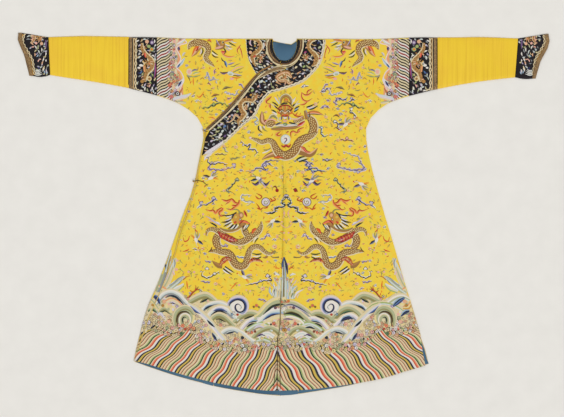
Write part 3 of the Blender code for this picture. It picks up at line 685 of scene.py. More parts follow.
def ruyi(s, x, y, r, turn, fill, edge, lift):
    """A cloud's head: three small lobes, each half outlined."""
    for angle, size in ((110, 0.62), (-110, 0.62), (0, 0.75)):
        px, py = away(x, y, turn + angle, r * (0.75 if angle else 0.35))
        s.disc(px, py, r * size, fill, lift + (not angle), 2)
        angles = -math.radians(turn + angle) - np.linspace(-1.9, 1.3, 7)
        s.stroke(arc(px, py, r * size, angles), [0.2, r * 0.42, r * 0.3], edge, lift + 1.5, 1, smooth=False)


def cloud(s, hues, width, heads, line):
    """A drifting cloud: a dark line with a pale one beside it and small curls off it.

    Fill and edge | width | its heads, each x,y,size,turn | places."""
    (fill, edge), (width,) = hues, width
    path = curve(line, 1.2)
    out = normals(path)
    path = path + out * (0.35 * np.sin(np.arange(len(path)) * 1.5))[:, None]
    s.stroke(path - out * 0.8, [0.3, width * 0.85, width * 0.85, 0.3], fill, 1, smooth=False)
    s.stroke(path, [0.25, width * 0.8, width * 0.85, width * 0.75, 0.2], edge, 2.2, smooth=False)
    for k in range(2, len(path) - 2, 5):
        side = -1 if k % 2 else 1
        x, y = path[k] + out[k] * side * 1.1
        s.stroke([(x - 0.9, y + 0.3), (x, y), (x + 0.9, y + 0.4)], [0.3, 1.0, 0.3], fill, 2, 1)
        s.stroke([(x - 1.0, y - 0.2 * side), (x, y - 0.8 * side), (x + 1.1, y)], [0.2, 0.65, 0.2], edge, 4, 1)
    for x, y, r, turn in heads:
        ruyi(s, x, y, r * 0.68, turn, fill, edge, 2)


def flower(s, hues, size, leaves, line):
    """A blossom of five petals: hue | size, and turn where there is one | angles of its leaves | centre."""
    (petal,), (r, turn), ((x, y),) = hues, (*size, 0)[:2], line
    for angle in leaves:
        points = [away(x, y, angle, r * 0.7), away(x, y, angle - 4, r * 1.4), away(x, y, angle + 12, r * 2.0)]
        s.stroke(points, [0.3, 0.9, 0.2], "olive", 1)
    for k in range(5):
        px, py = away(x, y, turn + 72 * k, r * 0.5)
        hue, lean = (petal, "sand", "rose")[k % 3], -math.radians(turn + 72 * k)
        s.disc(px, py, r * 0.42, hue, 2, 2, ry=r * 0.34, turn=lean)
    s.disc(x, y, r * 0.24, "gold", 3, 2)
    points = [away(x, y, 200, r * 0.9), away(x, y, 250, r * 0.7), away(x, y, 300, r * 0.9)]
    s.stroke(points, [0.2, 0.5, 0.2], "tan", 3, 1)


def sprig(s, x, y, turn, size=3.2, petal="pink"):
    """A thin twig with small leaves and a bud."""
    tip = away(x, y, turn, size * 1.5)
    s.stroke([(x, y), away(x, y, turn + 16, size * 0.8), tip], [0.5, 0.7, 0.2], "olive", 1)
    for side, hue in ((-1, "gold"), (1, "olive")):
        a = away(x, y, turn + 10 * side, size * 0.6)
        s.stroke([a, away(*a, turn + 48 * side, size * 0.7)], [0.3, 0.8, 0.15], hue, 1.5)
    s.disc(*tip, size * 0.3, petal, 2, 2)


def coral(s, x, y, turn, size, hue):
    """A stem that forks three times."""
    tip = away(x, y, turn, size)
    s.stroke([(x, y), away(x, y, turn + 8, size * 0.5), tip], [size * 0.16, size * 0.13, 0.3], hue, 2)
    for part, side, reach in ((0.35, 1, 0.42), (0.55, -1, 0.45), (0.75, 1, 0.3)):
        a = away(x, y, turn, size * part)
        points = [a, away(*a, turn + side * 50, size * reach * 0.7), away(*a, turn + side * 32, size * reach)]
        s.stroke(points, [size * 0.1, size * 0.1, 0.2], hue, 2)


def crane(s, hues, turn, flip, line):
    """A flying crane: a pale body, a dark wing, a fan of long feathers, and thin legs.

    Hues of its back and wing | turn | 1 or -1 for the way that it flies | centre."""
    (bright, tips), (turn,), (flip,), ((x, y),) = hues, turn, flip, line
    def place(ahead, up):
        px, py = away(x, y, turn, ahead * flip)
        return away(px, py, turn + 90, up)
    s.stroke([place(-1.5, -0.4), place(-4.6, -1.2), place(-7.6, -0.6)], [1.3, 0.8, 0.4], "cream", 3)
    s.disc(*place(-8.2, -0.5), 0.7, "red", 4, 1)
    wing = [place(-0.4, 0.6), place(-3.4, 2.8), place(-6.8, 5.2)]
    s.stroke(wing, [1.4, 3.2, 0.3], ("grey", tips, "ink"), 3)
    for k, (a, b, hue) in enumerate(rows("5.4 5.6 lilac; 7.8 4.2 olive; 8.6 2.2 grey; 7 0.4 cream")):
        s.stroke([place(0.2, 0.5), place(a * 0.5, b * 0.8), place(a, b)], [0.9, 1.2, 0.2], hue, 3 + k * 0.4)
    s.disc(x, y, 2.9, "white", 4, 3, ry=1.6, turn=-math.radians(turn))
    s.disc(*place(0, 0.3), 1.7, bright, 5, 2, ry=0.9, turn=-math.radians(turn))
    for up in (-1.6, -0.4):
        s.stroke([place(1.6, up * 0.6), place(6.8, up - 2)], [0.8, 0.4], "orange", 2)


def curl(s, x, y, r, fill, edge, lift, turn):
    """A froth curl: a small scroll with a fine dark outline, open on one side, and a line wound in it."""
    s.disc(x, y, r, fill, lift, 2.5)
    outline = arc(x, y, r, turn + np.linspace(0, 4.6, 9))
    s.stroke(outline, [0.2, r * 0.26, r * 0.2], edge, lift + 1, 1, smooth=False)
    s.spiral(x, y, r * 0.55, 1.0, r * 0.2, edge, lift + 2.6, start=turn)


def filler(s, seed, box, count):
    """Small sprigs, leaves, buds and cloudlets wherever the ground in the box (x, y, x, y) is still bare."""
    rand = random.Random(seed)
    s.marks, placed = False, []
    for _ in range(count * 14):
        x, y, size = rand.uniform(box[0], box[2]), rand.uniform(box[1], box[3]), rand.uniform(1.6, 2.7)
        close = any((x - a) ** 2 + (y - b) ** 2 < (size + c) ** 2 * 1.25 for a, b, c in placed)
        if not s.free(x, y, 1.6) or close:
            continue
        placed.append((x, y, size))
        kind, turn = rand.random(), rand.uniform(0, 360)
        if kind < 0.34:
            sprig(s, x, y, turn, size, rand.choice(("rose", "brown", "peach", "tan")))
        elif kind < 0.56:
            for k in range(rand.choice((2, 3))):
                a = away(x, y, turn + 70 * k, size * 0.5)
                hue = rand.choice(("olive", "brown", "umber", "green"))
                s.stroke([a, away(*a, turn + 70 * k + 20, size * 0.9)], [0.4, 0.95, 0.2], hue, 1)
        elif kind < 0.68:
            hue = rand.choice(("rose", "sand", "peach", "cream"))
            s.disc(x, y, size * 0.5, hue, 1, 2, ry=size * 0.34, turn=turn)
            s.stroke([away(x, y, 30, size * 0.5), away(x, y, 210, size * 0.4)], [0.3, 0.5], "tan", 3, 1)
        elif kind < 0.77:
            lean = rand.uniform(-25, 25)
            fill = rand.choice(("lilac", "white", "mist", "mist"))
            edge = rand.choice(("purple", "grey", "grey", "umber"))
            line = [away(x, y, 180 + lean, size), (x, y - 0.5), away(x, y, lean, size)]
            cloud(s, (fill, edge), [0.7], [(x, y - 0.8, 1.1, 90)], line)
        else:
            line = [(x, y), away(x, y, turn + 20, size * 0.6), away(x, y, turn, size * 1.3)]
            s.stroke(line, [0.3, 0.9, 0.2], rand.choice(("orange", "brown", "red", "tan")), 1)
    s.marks = True


def chain(s, hues, every, width, line):
    """A cream scalloped edging with dark eyes in it: no hues | from eye to eye | width | places."""
    path = curve(line, 0.8)
    (every,), (width,), reach = every, width, along(path)
    swell = width * (0.72 + 0.34 * np.cos(2 * np.pi * reach / every))
    s.stroke(path, swell, ("cream", "beige", "cream"), 1.5, 3, smooth=False)
    for at in np.arange(0, reach[-1], every):
        (x, nx), (y, ny) = (np.interp((at, at + 1), reach, path[:, axis]) for axis in (0, 1))
        s.disc(x, y, 1.3, "umber", 5, 1, ry=0.5, turn=math.atan2(ny - y, nx - x))


def ripple(s, line, offset, width, every=3.4, depth=0.7, hues=("white", "mist")):
    """A pale froth line that runs in and out along an edge."""
    path = curve(line, 0.7)
    swing = offset + depth * np.sin(2 * np.pi * along(path) / every)
    s.stroke(path + normals(path) * swing[:, None], width, hues, 1.5, smooth=False)


def dragon(s, hues, head, widths, line):
    """A band's dragon: a pale-edged body with short fins and limbs, and a tangled head.

    Hues of its skin if unusual | its head as x,y,size | widths along it | places."""
    path, ((x, y, r),) = curve(line, 0.9), head
    w, out = spread(widths, len(path)), normals(path)
    s.stroke(path, w * 1.22, hues or ("cream", "tan", "brown", "tan"), 2, 4, smooth=False)
    for i in range(1, len(path) - 1):
        a = path[i] + out[i] * 0.22 * w[i] * (1 if i % 2 else -1)
        s.stroke([a - out[i] * 0.4, a + out[i] * 0.3], 0.45, "beige" if i % 3 else "umber", 7, 0.5)
    for i in range(3, len(path) - 2, 5):
        fin = out[i] * (1 if i % 2 else -1)
        a = path[i] + fin * w[i] * 0.5
        hue = ("tan", "rose", "brown", "beige")[i % 4]
        s.stroke([a, a + fin * 1.5, a + fin * 2.4 + (0.8, 0.5)], [1.2, 1.2, 0.2], hue, 2)
    s.disc(x, y, r * 0.85, "tan", 5, 3, ry=r * 0.6, turn=0.4, rim="brown")
    for k in range(9):
        turn = k * 40 + 10
        points = [away(x, y, turn, r * 0.5), away(x, y, turn + 14, r * 0.95), away(x, y, turn + 4, r * 1.5)]
        s.stroke(points, [0.8, 0.9, 0.2], ("rose", "tan", "cream", "tan", "beige", "brown")[k % 6], 6)
    s.disc(x - 0.3 * r, y - 0.15 * r, r * 0.17, "ink", 9, 1)
    s.disc(x + 0.35 * r, y + 0.25 * r, r * 0.2, "salmon", 8, 1)


MOTIFS = {draw.__name__: draw for draw in (
    spot, dash, flame, hatch, scales, cloud, flower, crane, chain, dragon)}


# ---------------------------------------------------------------- the field: hem, waves and mountains

CENTRE = 284.5  # the axis that mirrors the hem
STRIPES = rows("""
    bronze 1.4; gold 0.4; straw 1.5; olive 0.4; ink 1.7; lavender 0.7; white 1.3; cream 0.5; red 1.1
    salmon 1.3; cream 1.1; pine 1.3; leaf 1.2; cream 1.8; umber 0.8; rose 1; cream 1.4; umber 0.8; rose 1
    cream 0.9
""")  # across one repeat, from its inner edge outwards: colour and width
REPEATS = (-49, -27, -4, 18.5, 40.5, 63.5, 85, 106.5, 125.5, 144.5, 164, 183)  # how far out they meet the hem
HEM = rows("0 361.5; 23 369; 53 377.5; 83 384.5; 113 389; 146 391.5")  # (from the side, y)
FROTH_FOOT = rows("""
    -12 320; 0 324; 10 327; 25 332; 40 334; 47 329; 52 328; 60 339; 68 343; 76 347; 92 349; 101 351; 111 350
    125 345; 133 349; 141 346; 147 347
""")  # where the froth over the stripes ends: (from the side, y)
HALF = 147  # from the side to the axis
ROCK = 284  # the middle of the rock
SEAM_TOP, SEAM_DROP, SEAM_LEAN = 298, 52, 7.5  # the centre seam leans from here, over this drop, this far
SEAM_REACH = 60  # how far out the stripes lean with it
DARK_STRIPES = ("pine", "bronze", "ink", "olive", "black", "maroon")  # they lie a little lower


def froth_foot(x):
    """How far down the froth reaches."""
    return np.interp(HALF - abs(x - CENTRE), *zip(*FROTH_FOOT))


def stripe_edge(out):
    """One slightly waving line between two stripes, flatter further out; out is where it meets the hem."""
    slope = math.radians(59 - 0.0009 * max(out, 0) ** 2 if out < 150 else 38.8)
    foot = np.interp(HALF - abs(out), *zip(*HEM)) if out < HALF else 361.5 - (out - HALF) * 0.33
    t = np.arange(-20, 80, 1.5)
    sway = 0.9 * np.sin(2 * np.pi * t / 23 + 1.85 - 0.0207 * out) + 0.3 * np.sin(0.19 * t + 0.09 * out)
    c, s = math.cos(slope), math.sin(slope)
    return np.stack([CENTRE + (out - t * c + sway * s), foot - t * s - sway * c], 1)


def hem_stripes(s):
    """The slanting water stripes of the right half, from the centre out, over its edging at side and hem."""
    lean = SEAM_LEAN if s.mirror is None else -SEAM_LEAN
    side = items("""
        155,288 150,302 145.6,318 147.6,330 141,330 137,345 133.6,361 158,369.6 188,378 219,385 250,389.5
        270,391
    """)
    s.stroke([(2 * CENTRE - x, y) for x, y in side], 13, ("umber", "beige", "cream"), 0.3, 0.3)
    whole, edges = sum(width for _, width in STRIPES), []
    for start, end in zip(REPEATS, REPEATS[1:]):
        at = start
        for hue, width in STRIPES:
            edges.append((at, hue))
            at += width / whole * (end - start)
    def bend(y):
        return lean * np.clip((y - SEAM_TOP) / SEAM_DROP, 0, 1)
    lines = [stripe_edge(out) for out, _ in edges]
    for a, b, (_, hue) in zip(lines, lines[1:], edges):
        a, b = a.copy(), b.copy()
        for rail in (a, b):
            rail[:, 0] -= bend(rail[:, 1]) * np.clip(1 - (rail[:, 0] - CENTRE) / SEAM_REACH, 0, 1)
        seam = CENTRE - bend(b[:, 1])
        keep = [i for i in range(len(a)) if b[i, 0] > seam[i] and b[i, 1] > froth_foot(b[i, 0]) - 6]
        if len(keep) > 2:
            rails = [a[keep], (a[keep] + b[keep]) / 2, b[keep]]
            for rail in rails:
                rail[:, 0] = np.maximum(rail[:, 0], seam[keep] - 0.4)
            low = 1.4 if hue in DARK_STRIPES else 2.2
            s.grid(rails, [np.full(len(keep), lift) for lift in (low, low + 0.5, low)], [hue, hue])


def mottle(s):
    """The ground of the waves."""
    rand = random.Random(5 if s.mirror is None else 6)
    top = rows("""
        140 303; 150 300; 160 292; 172 290.5; 184 298; 190 299; 206 294; 216 302; 229 305; 246 309; 252 311
        259 315; 266 307; 276 299; 287 299
    """)
    xs, shares = np.arange(139, CENTRE + 1, 2.2), np.linspace(0, 1, 16)
    up, down = np.interp(xs, *zip(*top)) + 1.5, froth_foot(xs) - 2
    words = "cream beige sand cream cream pink beige sand moss cream lavender".split()
    hues = [[rand.choice(words) for _ in xs] for _ in shares[1:]]
    rails = [np.stack([xs, up + (down - up) * share], 1) for share in shares]
    s.grid(rails, np.full((len(shares), len(xs)), 0.5), hues)


def waves(s):
    """The left half's pile of waves, back to front."""
    mirrored = s.mirror is not None
    # at the side
    if mirrored:
        sew(s, """
            cream white moss mist cream | 6 3 | 4 8 9 8 5 | 159,300 166,297 173,298.5 180,303 186,308
            sky steel blue navy | 10 1 | 2 5.2 4.6 1 | 164.6,297.4 170.6,301.2 177.6,307.4
            sky steel navy | 8 1 | 2 4 3.6 1 | 159.6,310.6 164,312 168.4,316.4
            peach sand gold | 5 | 3 5 3 | 158,303 161,307 166,307.4
            cream leaf mist cream | 7 3 | 3 4.5 5 6 5.5 4 | 166,311 172,307 180,304 188,303.4 196,305.4
                203,311
            dash lavender purple | 10.4 | 1.7 | 187,306.4 192,306.6 197,309.6
        """)
    else:
        sew(s, """
            pale | 6 3 | 3 6 6 6 6 6 4 | 156,304 160,297 165,292.8 172,291.4 179,294.4 184.5,300 189.5,305.6
            dash grey steel ink | 9.4 | 2.5 | 165.5,297.6 170,295.4 175,296 179.5,299.4 183.8,304.6
            peach cream cream | 6.5 3 | 3.6 | 166,302 171,299.6 176,301 180,304.4 183,308.4
            dash lavender ink | 9.9 | 1.7 | 169.6,303 173,302.4 176,304.2
            blue navy navy | 8 | 3 5 1.4 | 154,296 157.4,298.4 160,303.6
            cream moss sand | 5 | 3 4.4 3 | 150.6,299 155,303.4 158.6,309
            moss green pine | 6 | 2 4 1.4 | 148,311 152.4,308.8 157,312.4
            moss olive pine | 6 | 2 4.6 3 1 | 159.6,311.4 165,309.6 170,313.6
            mist lavender lilac | 7 | 2 3.4 1.6 | 157.6,315 160.6,313.4 163.4,316.4
        """)
    # behind the large whorls
    sew(s, """
        mossy | 5 3 | 5 7 7 6.6 5 | 185.5,304 193,299.4 200,296 206,295 211,297.6 217,302.6
        dash olive pine ink | 8.4 | 2.2 | 200,302.6 204,300.2 208.6,298
        pale | 6 3 | 5.4 | 199,313 203.6,308.4 209,304.4 215,302.4 222,302.8 229,306.4
        dash sky steel ink | 9.4 | 2.3 | 203.4,310 207.5,306.8 213.4,304.8
    """)
    if mirrored:
        sew(s, """
            mossy | 8 3 | 7.4 | 206,319.4 210,313.6 215,309.4 221,307.6 227,309.6 232.4,314 238.6,320
            dash olive green pine | 11.4 | 2.6 | 216,311.6 221,310.8 226,312.6 229,315
            silver | 9 3 | 6 | 210,321 214,316.4 219,314.6 224.6,316.6 230,321.4 235,326.4
            dash sky steel navy ink | 12.4 | 3.6 | 215.4,319 220,317.2 225,318.6 228.6,321.6
        """)
    else:
        sew(s, """
            pale | 8 3 | 7.4 | 206,319.4 210,313.6 215,309.4 221,307.6 227,309.6 232.4,314 238.6,320
            dash lavender blue navy | 11.4 | 2.6 | 213,311 217,309 222,308.9 227.4,311.6
            dash ink | 11.4 | 1.4 | 211,315 216,311.6 221,310.9 226.6,313.6
            mossy | 9 3 | 5.6 | 210,321 214,316.4 219,314.6 224.6,316.6 230,321.4 235,326.4
            dash olive bronze | 12.4 | 2 | 215.6,319.6 220,318.4 226,322
        """)
    # the middle
    if mirrored:
        sew(s, """
            cream moss cream grey cream | 9 3 | 7.4 | 258,316.4 262,312.6 272,305.8 279,303.6 286,305
            dash grey steel lilac | 12.4 | 2.2 | 260,314 266,310 272.6,306.4 279,304.4 285.6,305.8
            mossy | 10 3 | 6.8 | 259,322 264,317.6 270,312.6 278,309.8 286,311.6
            dash bronze pine | 13.4 | 2.2 | 265,319.6 271,315.4 278,313.2 285,314
            leaf white cream | 11 3 | 4.6 | 265,323.6 270,319 278,316.4 286,317
            dash purple | 14.4 | 1.1 | 276,319.6 281,318.8 286,319.2
        """)
    else:
        sew(s, """
            cream sand moss moss olive | 9 3 | 8.4 | 254,319 261,314 267,307 273,302.4 279,300.6 286,300.8
            dash bronze pine ink | 12.4 | 1.9 | 263,314.6 267.5,310.4 272.5,306.4 279,304.6 285.4,304.8
            white white mist sky | 10 3 | 6.8 | 257,323 263,317.8 268,313.2 274,310.6 281,310.2 286,311.2
            dash sky blue navy ink | 13.4 | 2.4 | 262.6,320.4 268,316.4 273,314 280,313.6
            cream cream sand | 11 3 | 3.8 | 261,325.6 267,320.8 273,317.8 280,316.4 286,316.8
        """)
    sew(s, """
        mossy | 8 3 | 6.4 | 231,324 237,318.8 243,314.8 249,312.6 255,313.4 260.6,317.4 266,322
        dash olive bronze pine | 11.4 | 2 | 244,319 249,316.6 254.4,315.2
        silver | 9 3 | 5.8 | 241,329 246.4,322.6 252,318.8 258,317.8 264,320 271,325.6
        dash sky steel | 12.4 | 2 | 248.6,322.8 253,321 258.4,320.6
        dash ink | 12.4 | 1.6 | 246.6,327 250.4,324.6 254.6,323
    """)
    shade = "mist steel bronze" if mirrored else "lavender lilac olive"
    sew(s, f"""
        cream leaf mist moss | 10 3 | 6.6 | 242,335 248,328.6 254.6,324.4 261,322.8 267.4,325.2 273,330.4
        dash {shade} | 13.4 | 2.5 | 253.6,329 259,326.6 265,328
        mossy | 11 3 | 6.2 | 251.6,338 257.6,332 264,328.4 270,327.2 276.4,329.6 281,334
        dash purple ink | 14.4 | 1.6 | 256.6,336.6 261,334.6 265.4,335.6
        white mist white | 12 3 | 4.2 | 259,338.4 263.6,334.4 268.6,333.8 274,337
        # the long ribbon that runs down across the others
        cream cream mist lavender white cream | 12 3 | 3 6.6 7 7 6.6 6.6 6.6 4 | 188,303.6 196,309 203,315
            208.4,320.2 213,325.8 217.4,331.4 222,337 227,343
        dash mist lavender blue navy | 15.4 | 3.4 | 190.6,305.8 195,309.4 200.6,313.8
        dash mist steel ink | 15.4 | 2.6 | 207,319.6 211,323.2 215,327
        dash mist steel navy | 15.4 | 3 | 212,332.6 215,336.6 217.4,341
        pale | 11 3 | 6 | 217.6,338.6 222,332.4 227.4,329.2 233.4,328.6 239,331
        dash mist steel ink | 14.4 | 2 | 225.4,334 230,332.2 235.4,331.2
        cream white mist cream | 12 3 | 3 5.4 5.4 5.4 3 | 237,329 243,332.6 249,337.6 255,342 259,346
        spot steel ink | 10 2 | 1.8 | 242.6,337.6
        leaf mist moss | 11 3 | 3.8 | 252,344.4 257.6,340.6 263.6,339.4 270,341.6
        white mist grey | 8 3 | 2 4.6 3 | 186.6,330 190,324 196,321
        # the clear whorl
        spot mist cream | 10 | 10.9 10.9 0 0.8 | 238.4,305.4
        lavender lilac blue | 14 | 0.8 2.4 2.6 2.8 2.8 2.6 2.6 2.2 0.8 | 228,305.6 228.4,302.6 232,299.2
            238,297.5 243.4,298.8 246.8,303 247.2,308.4 244.6,312.8 240.6,314.2
        spot white | 14 2 | 7.3 | 238.2,305.8
        navy ink | 17 | 0.5 1.5 1.8 1.8 1.9 2 2.1 2.1 1.9 1.6 1.6 1.8 1.9 1.5 1 0.3 | 229.2,306.2
            230.2,303.4 233,301 236.4,299.5 240,299.7 243,301.3 244.9,304.4 245,308 243.2,311 240.2,312.2
            237.5,311.4 235.7,309.2 235.3,306.4 236.6,304.3 239,304.1 240.4,306
        grey mist | 16 1 | 0.6 1.6 0.5 | 240.4,305 241.2,307.4 239.6,309.4
        white ink | 16 1 | 0.5 1.4 0.5 | 230.6,312.6 233,313.2 235.4,315.4
        # the mossy whorl
        spot moss sand | 12 2 | 10.4 10.6 0 0.8 | 184.6,317.6
        cream moss moss olive | 15 | 2.4 4.6 5 5 4.6 2.4 | 175,326 174.4,319 176,312.8 180.2,308.6
            185.6,307.2 190.8,309.4 194.2,314.6
        bronze umber | 19 | 0.6 1.7 2 2 1.6 0.4 | 177.6,326 177.2,319.4 178.8,314.6 182.2,312 186.6,311.8
            190.2,314
        white cream moss | 19 | 1.6 2.6 2.8 2.8 2.4 1.2 | 180.6,325 180.2,319 182.2,315.2 185.8,314.2
            189,316.4 190,320.6 188.4,324.6
        bronze ink | 21 | 0.5 1.4 1.2 0.3 | 183,323 182.5,319.4 184,317.1 186.4,317.6
        spot cream | 20 2 | 1.7 | 185.6,320
    """)


def spray(s):
    """What the left half's waves throw up: coral, blossoms and dark little scrolls."""
    sew(s, """
        red umber | 16 | 1.2 1.5 1.4 1.2 0.4 | 187,299 190.4,295.6 193,292.4 196,290 198.6,286.6
        orange crimson | 16 | 1.1 0.4 | 193,292.4 190.2,290.4; 196,290 199.8,289; 194.8,291 196,287.6
            195.6,285.2
        orange brown | 3 | 1.6 1.3 0.8 0.3 | 183,279.6 184.6,278 187,276.6 190.4,276
        orange | 3 | 0.6 1.5 0.6 | 186.6,281 187.2,284.6 187.4,288.6
    """)
    for x, y, r, hue, edge in rows("""
        185.6 296.6 1.5 beige ink; 188 299 1.3 pink umber; 237.6 314.4 1.2 red umber
        234 312.6 1.4 white ink; 232 314.4 1.2 sky pine; 256.6 305.4 1.4 salmon crimson
        253.8 306.8 1 umber brown; 259 307.2 0.9 olive umber; 273.6 323.6 1.6 salmon crimson
        271 324.4 1 pine umber; 276 325.4 1.2 pink umber; 281.8 301.8 1.1 salmon brown
        284 302.4 0.8 rose umber; 282.6 308 1.2 white umber; 275.4 307.6 1.5 umber purple
        278.4 307.4 1.1 pink umber; 248.6 333 1.3 rose crimson; 252 332.4 1.4 salmon umber
        255 331.4 1.2 umber crimson; 246.4 331.6 1.1 brown umber; 282.4 324 1.6 rose brown
        284 330 1.8 gold umber; 280 329.4 1.5 lilac purple; 164.4 301.6 1.8 rose peach
        163 305.4 1.4 gold umber; 177.2 306.4 1.4 lilac purple; 152.6 305 1.2 gold brown
        169 321.4 1.8 rose pink; 148.6 322.4 2.2 lavender ink; 158.6 318 1.1 rose umber
        182.8 325.6 1.9 salmon brown; 185.2 329 1.2 red umber; 181.6 333.4 1.7 green pine
        244 340.4 1.8 rose brown; 242.6 345.6 2 white ink; 217.4 342.4 1.2 rose gold
    """):
        curl(s, x, y, r, hue, edge, 17, 0.5 + x)
    if s.mirror is None:
        sew(s, "umber | 18 | 0.6 0.9 0.4 | 284.6,299.6 286,302; 272.6,322 275,326")


def froth(s):
    """Scrolls of foam in the hollows of the left half's waves (x, y, reach across and up) and at its foot."""
    rand = random.Random(11 if s.mirror is None else 12)
    hollows = rows("""
        222 323.4 9 2.6; 236 324 8 3; 200 321 6 5; 200 331 5 7; 206 337 6 6; 232 338 7 4; 240 342 8 5
        264 342 8 3.4; 251 332 4 2; 282 326 3 6; 154 317 8 5; 164 322 9 5; 196 316 5 3; 173 328 9 3
        276 341 6 4
    """)
    fills = "beige cream pink beige sand cream cream rose lavender sand beige moss white cream peach".split()
    edges = "umber umber ink brown umber purple pine ink".split()
    spots = []
    for _ in range(5200):
        if rand.random() < 0.45:
            px, py, across, up = rand.choice(hollows)
            x, y = px + rand.uniform(-1, 1) * across, py + rand.uniform(-1, 1) * up
            r, lift = rand.uniform(1.2, 2.0), 4
        else:
            x = rand.uniform(139, CENTRE)
            y = froth_foot(x) + 1.6 - 9 * rand.random() ** 1.3
            r, lift = rand.uniform(1.3, 2.2), 13
        close = any((x - a) ** 2 + (y - b) ** 2 < ((r + c) * 0.86) ** 2 for a, b, c, _ in spots)
        if y > froth_foot(x) + 2 or close:
            continue
        spots.append((x, y, r, lift))
        if len(spots) > 250:
            break
    for k, (x, y, r, lift) in enumerate(sorted(spots, key=lambda spot: spot[1])):
        curl(s, x, y, r, rand.choice(fills), rand.choice(edges), lift + (k % 4) * 0.5, rand.uniform(0, 6))


def side_rocks(s):
    """The rocks that lean against the left side."""
    sew(s, """
        mist/moss/sand/cream mist/grey/cream/beige grey/moss/cream/cream mist/mist/cream/sand | 2 3 |
            1 8 10 10 9 9 9 7 |
            171,250 166,268 161.4,282 157,292 153,300 149,312 146,322 143,332
        cream beige moss cream mist | 2 3 | 2 6 7 7 | 176,258 172,270 167,282 160,293
        moss mist moss mist | 2 3 | 1.6 5 6 5 | 185,276.6 178,281.4 171,287 163,293
        leaf cream mist white | 2 3 | 2 5.6 4 | 184,284 178.6,288 171,291.4
        grey mist | 6 | 1.2 2.8 1 | 173.2,258.4 174.4,263 173.6,268
        steel grey | 6 | 2 2 0.8 | 164.4,263 165.8,268.4
        gold olive | 6 | 1 2.2 1.8 0.6 | 171,256 168.6,266 166.4,274
        grey | 6 | 0.8 1.3 1.3 0.5 | 169.4,285.6 174,283 178,279 183.4,276
        mist grey | 6 | 1 2.6 1 | 177.4,284 181.6,279.4
        peach cream | 6 | 2 4.6 2 | 158.4,286 166.4,289.6
        lilac | 6 | 0.6 1.6 0.4 | 168.6,273 166,280
        olive | 6 | 0.6 1.4 0.4 | 164.6,276 162,282
        lavender pink | 6 | 1 2 0.6 | 172.6,271 174.6,275
        mist sky | 6 | 1 2.4 1 | 160.6,290 159.4,295
    """)


def mountain(s):
    """The rock in the middle of the hem, with the leaves and spray at its foot."""
    for across, tall, width, lean, hues in rows("""
        -8.5 13 5 1 moss+mist+cream; 8.5 13 5 -1 cream+mist+moss; -5 22 5.4 1.6 cream+mist+beige+moss
        5.2 22 5.6 -1.4 mist+sky+cream+moss; 0 27 7 0 moss+mist+grey+mist+moss
        0.2 42 4.6 0 grey/mist/mist/navy+grey+olive+mist+grey/grey/blue/navy
    """):
        x = ROCK + across
        line = [(x, 299), (x + lean * 0.4, 299 - tall * 0.5), (x + lean, 299 - tall)]
        s.stroke(line, [width * 1.1, width, width * 0.9, width * 0.22], hues, 4)
    sew(s, """
        ink navy | 9 | 0.6 2.6 0.8 | 287.6,274 286.8,267 284.4,257.6
        navy blue | 9 | 0.6 2.2 0.8 | 282,269 282.6,264 284,257
    """)
    for k in range(18):  # short leaves on both sides of it
        sign = 1 if k % 2 else -1
        x, y = ROCK + sign * (2.6 + 0.62 * k), 298 - (k * 5) % 17
        line = [(x, y), away(x, y, 90 - sign * 12, 2.4), away(x, y, 90 - sign * (14 + k), 4.8)]
        s.stroke(line, [0.5, 1.3, 0.2], ("cream+grey", "pink+mist", "mist+moss", "beige+olive")[k % 4], 8)
    sew(s, "olive umber | 10 | 0.6 1.1 1.1 | 283.6,262 284,276 283.2,297")
    for x, y, turn, reach, hues in rows("""
        275 297 100 11 white+grey; 272.4 296 112 10 sky+mist; 278 297 84 9 beige+moss
        291 298 62 11 mist+green; 294 298 50 13 white+lavender; 273.6 294 76 5 steel+grey
        289 297 78 9 cream+leaf; 279.5 275 150 6 white+mist; 290 275.5 20 6 white+mist
        278 282 110 6 pink+cream; 291 283 70 6 pink+mist; 279 279 165 5 grey+beige; 288.6 281 15 5 rose+pink
        276.4 290 118 8 mist+white; 292.6 291 58 7 sky+mist
    """):
        line = [(x, y), away(x, y, turn + 8, reach * 0.5), away(x, y, turn - 8, reach)]
        s.stroke(line, [0.8, 2.4, 0.3], hues, 6)
    for x, y, r, hue, edge in rows("""
        281.4 278.6 1.1 mist umber; 287 279.4 1.1 pink umber; 277.4 279.6 0.9 peach crimson
        290.8 279.6 0.9 pink crimson; 279.8 300 1.4 cream umber; 288.4 301 1.4 orange brown
    """):
        curl(s, x, y, r, hue, edge, 11, x)
    coral(s, 279.5, 268.6, 155, 6.4, "orange")
    coral(s, 289, 269.6, 35, 6.2, "crimson")


# ---------------------------------------------------------------- the field: the skirt's dragon and its sky

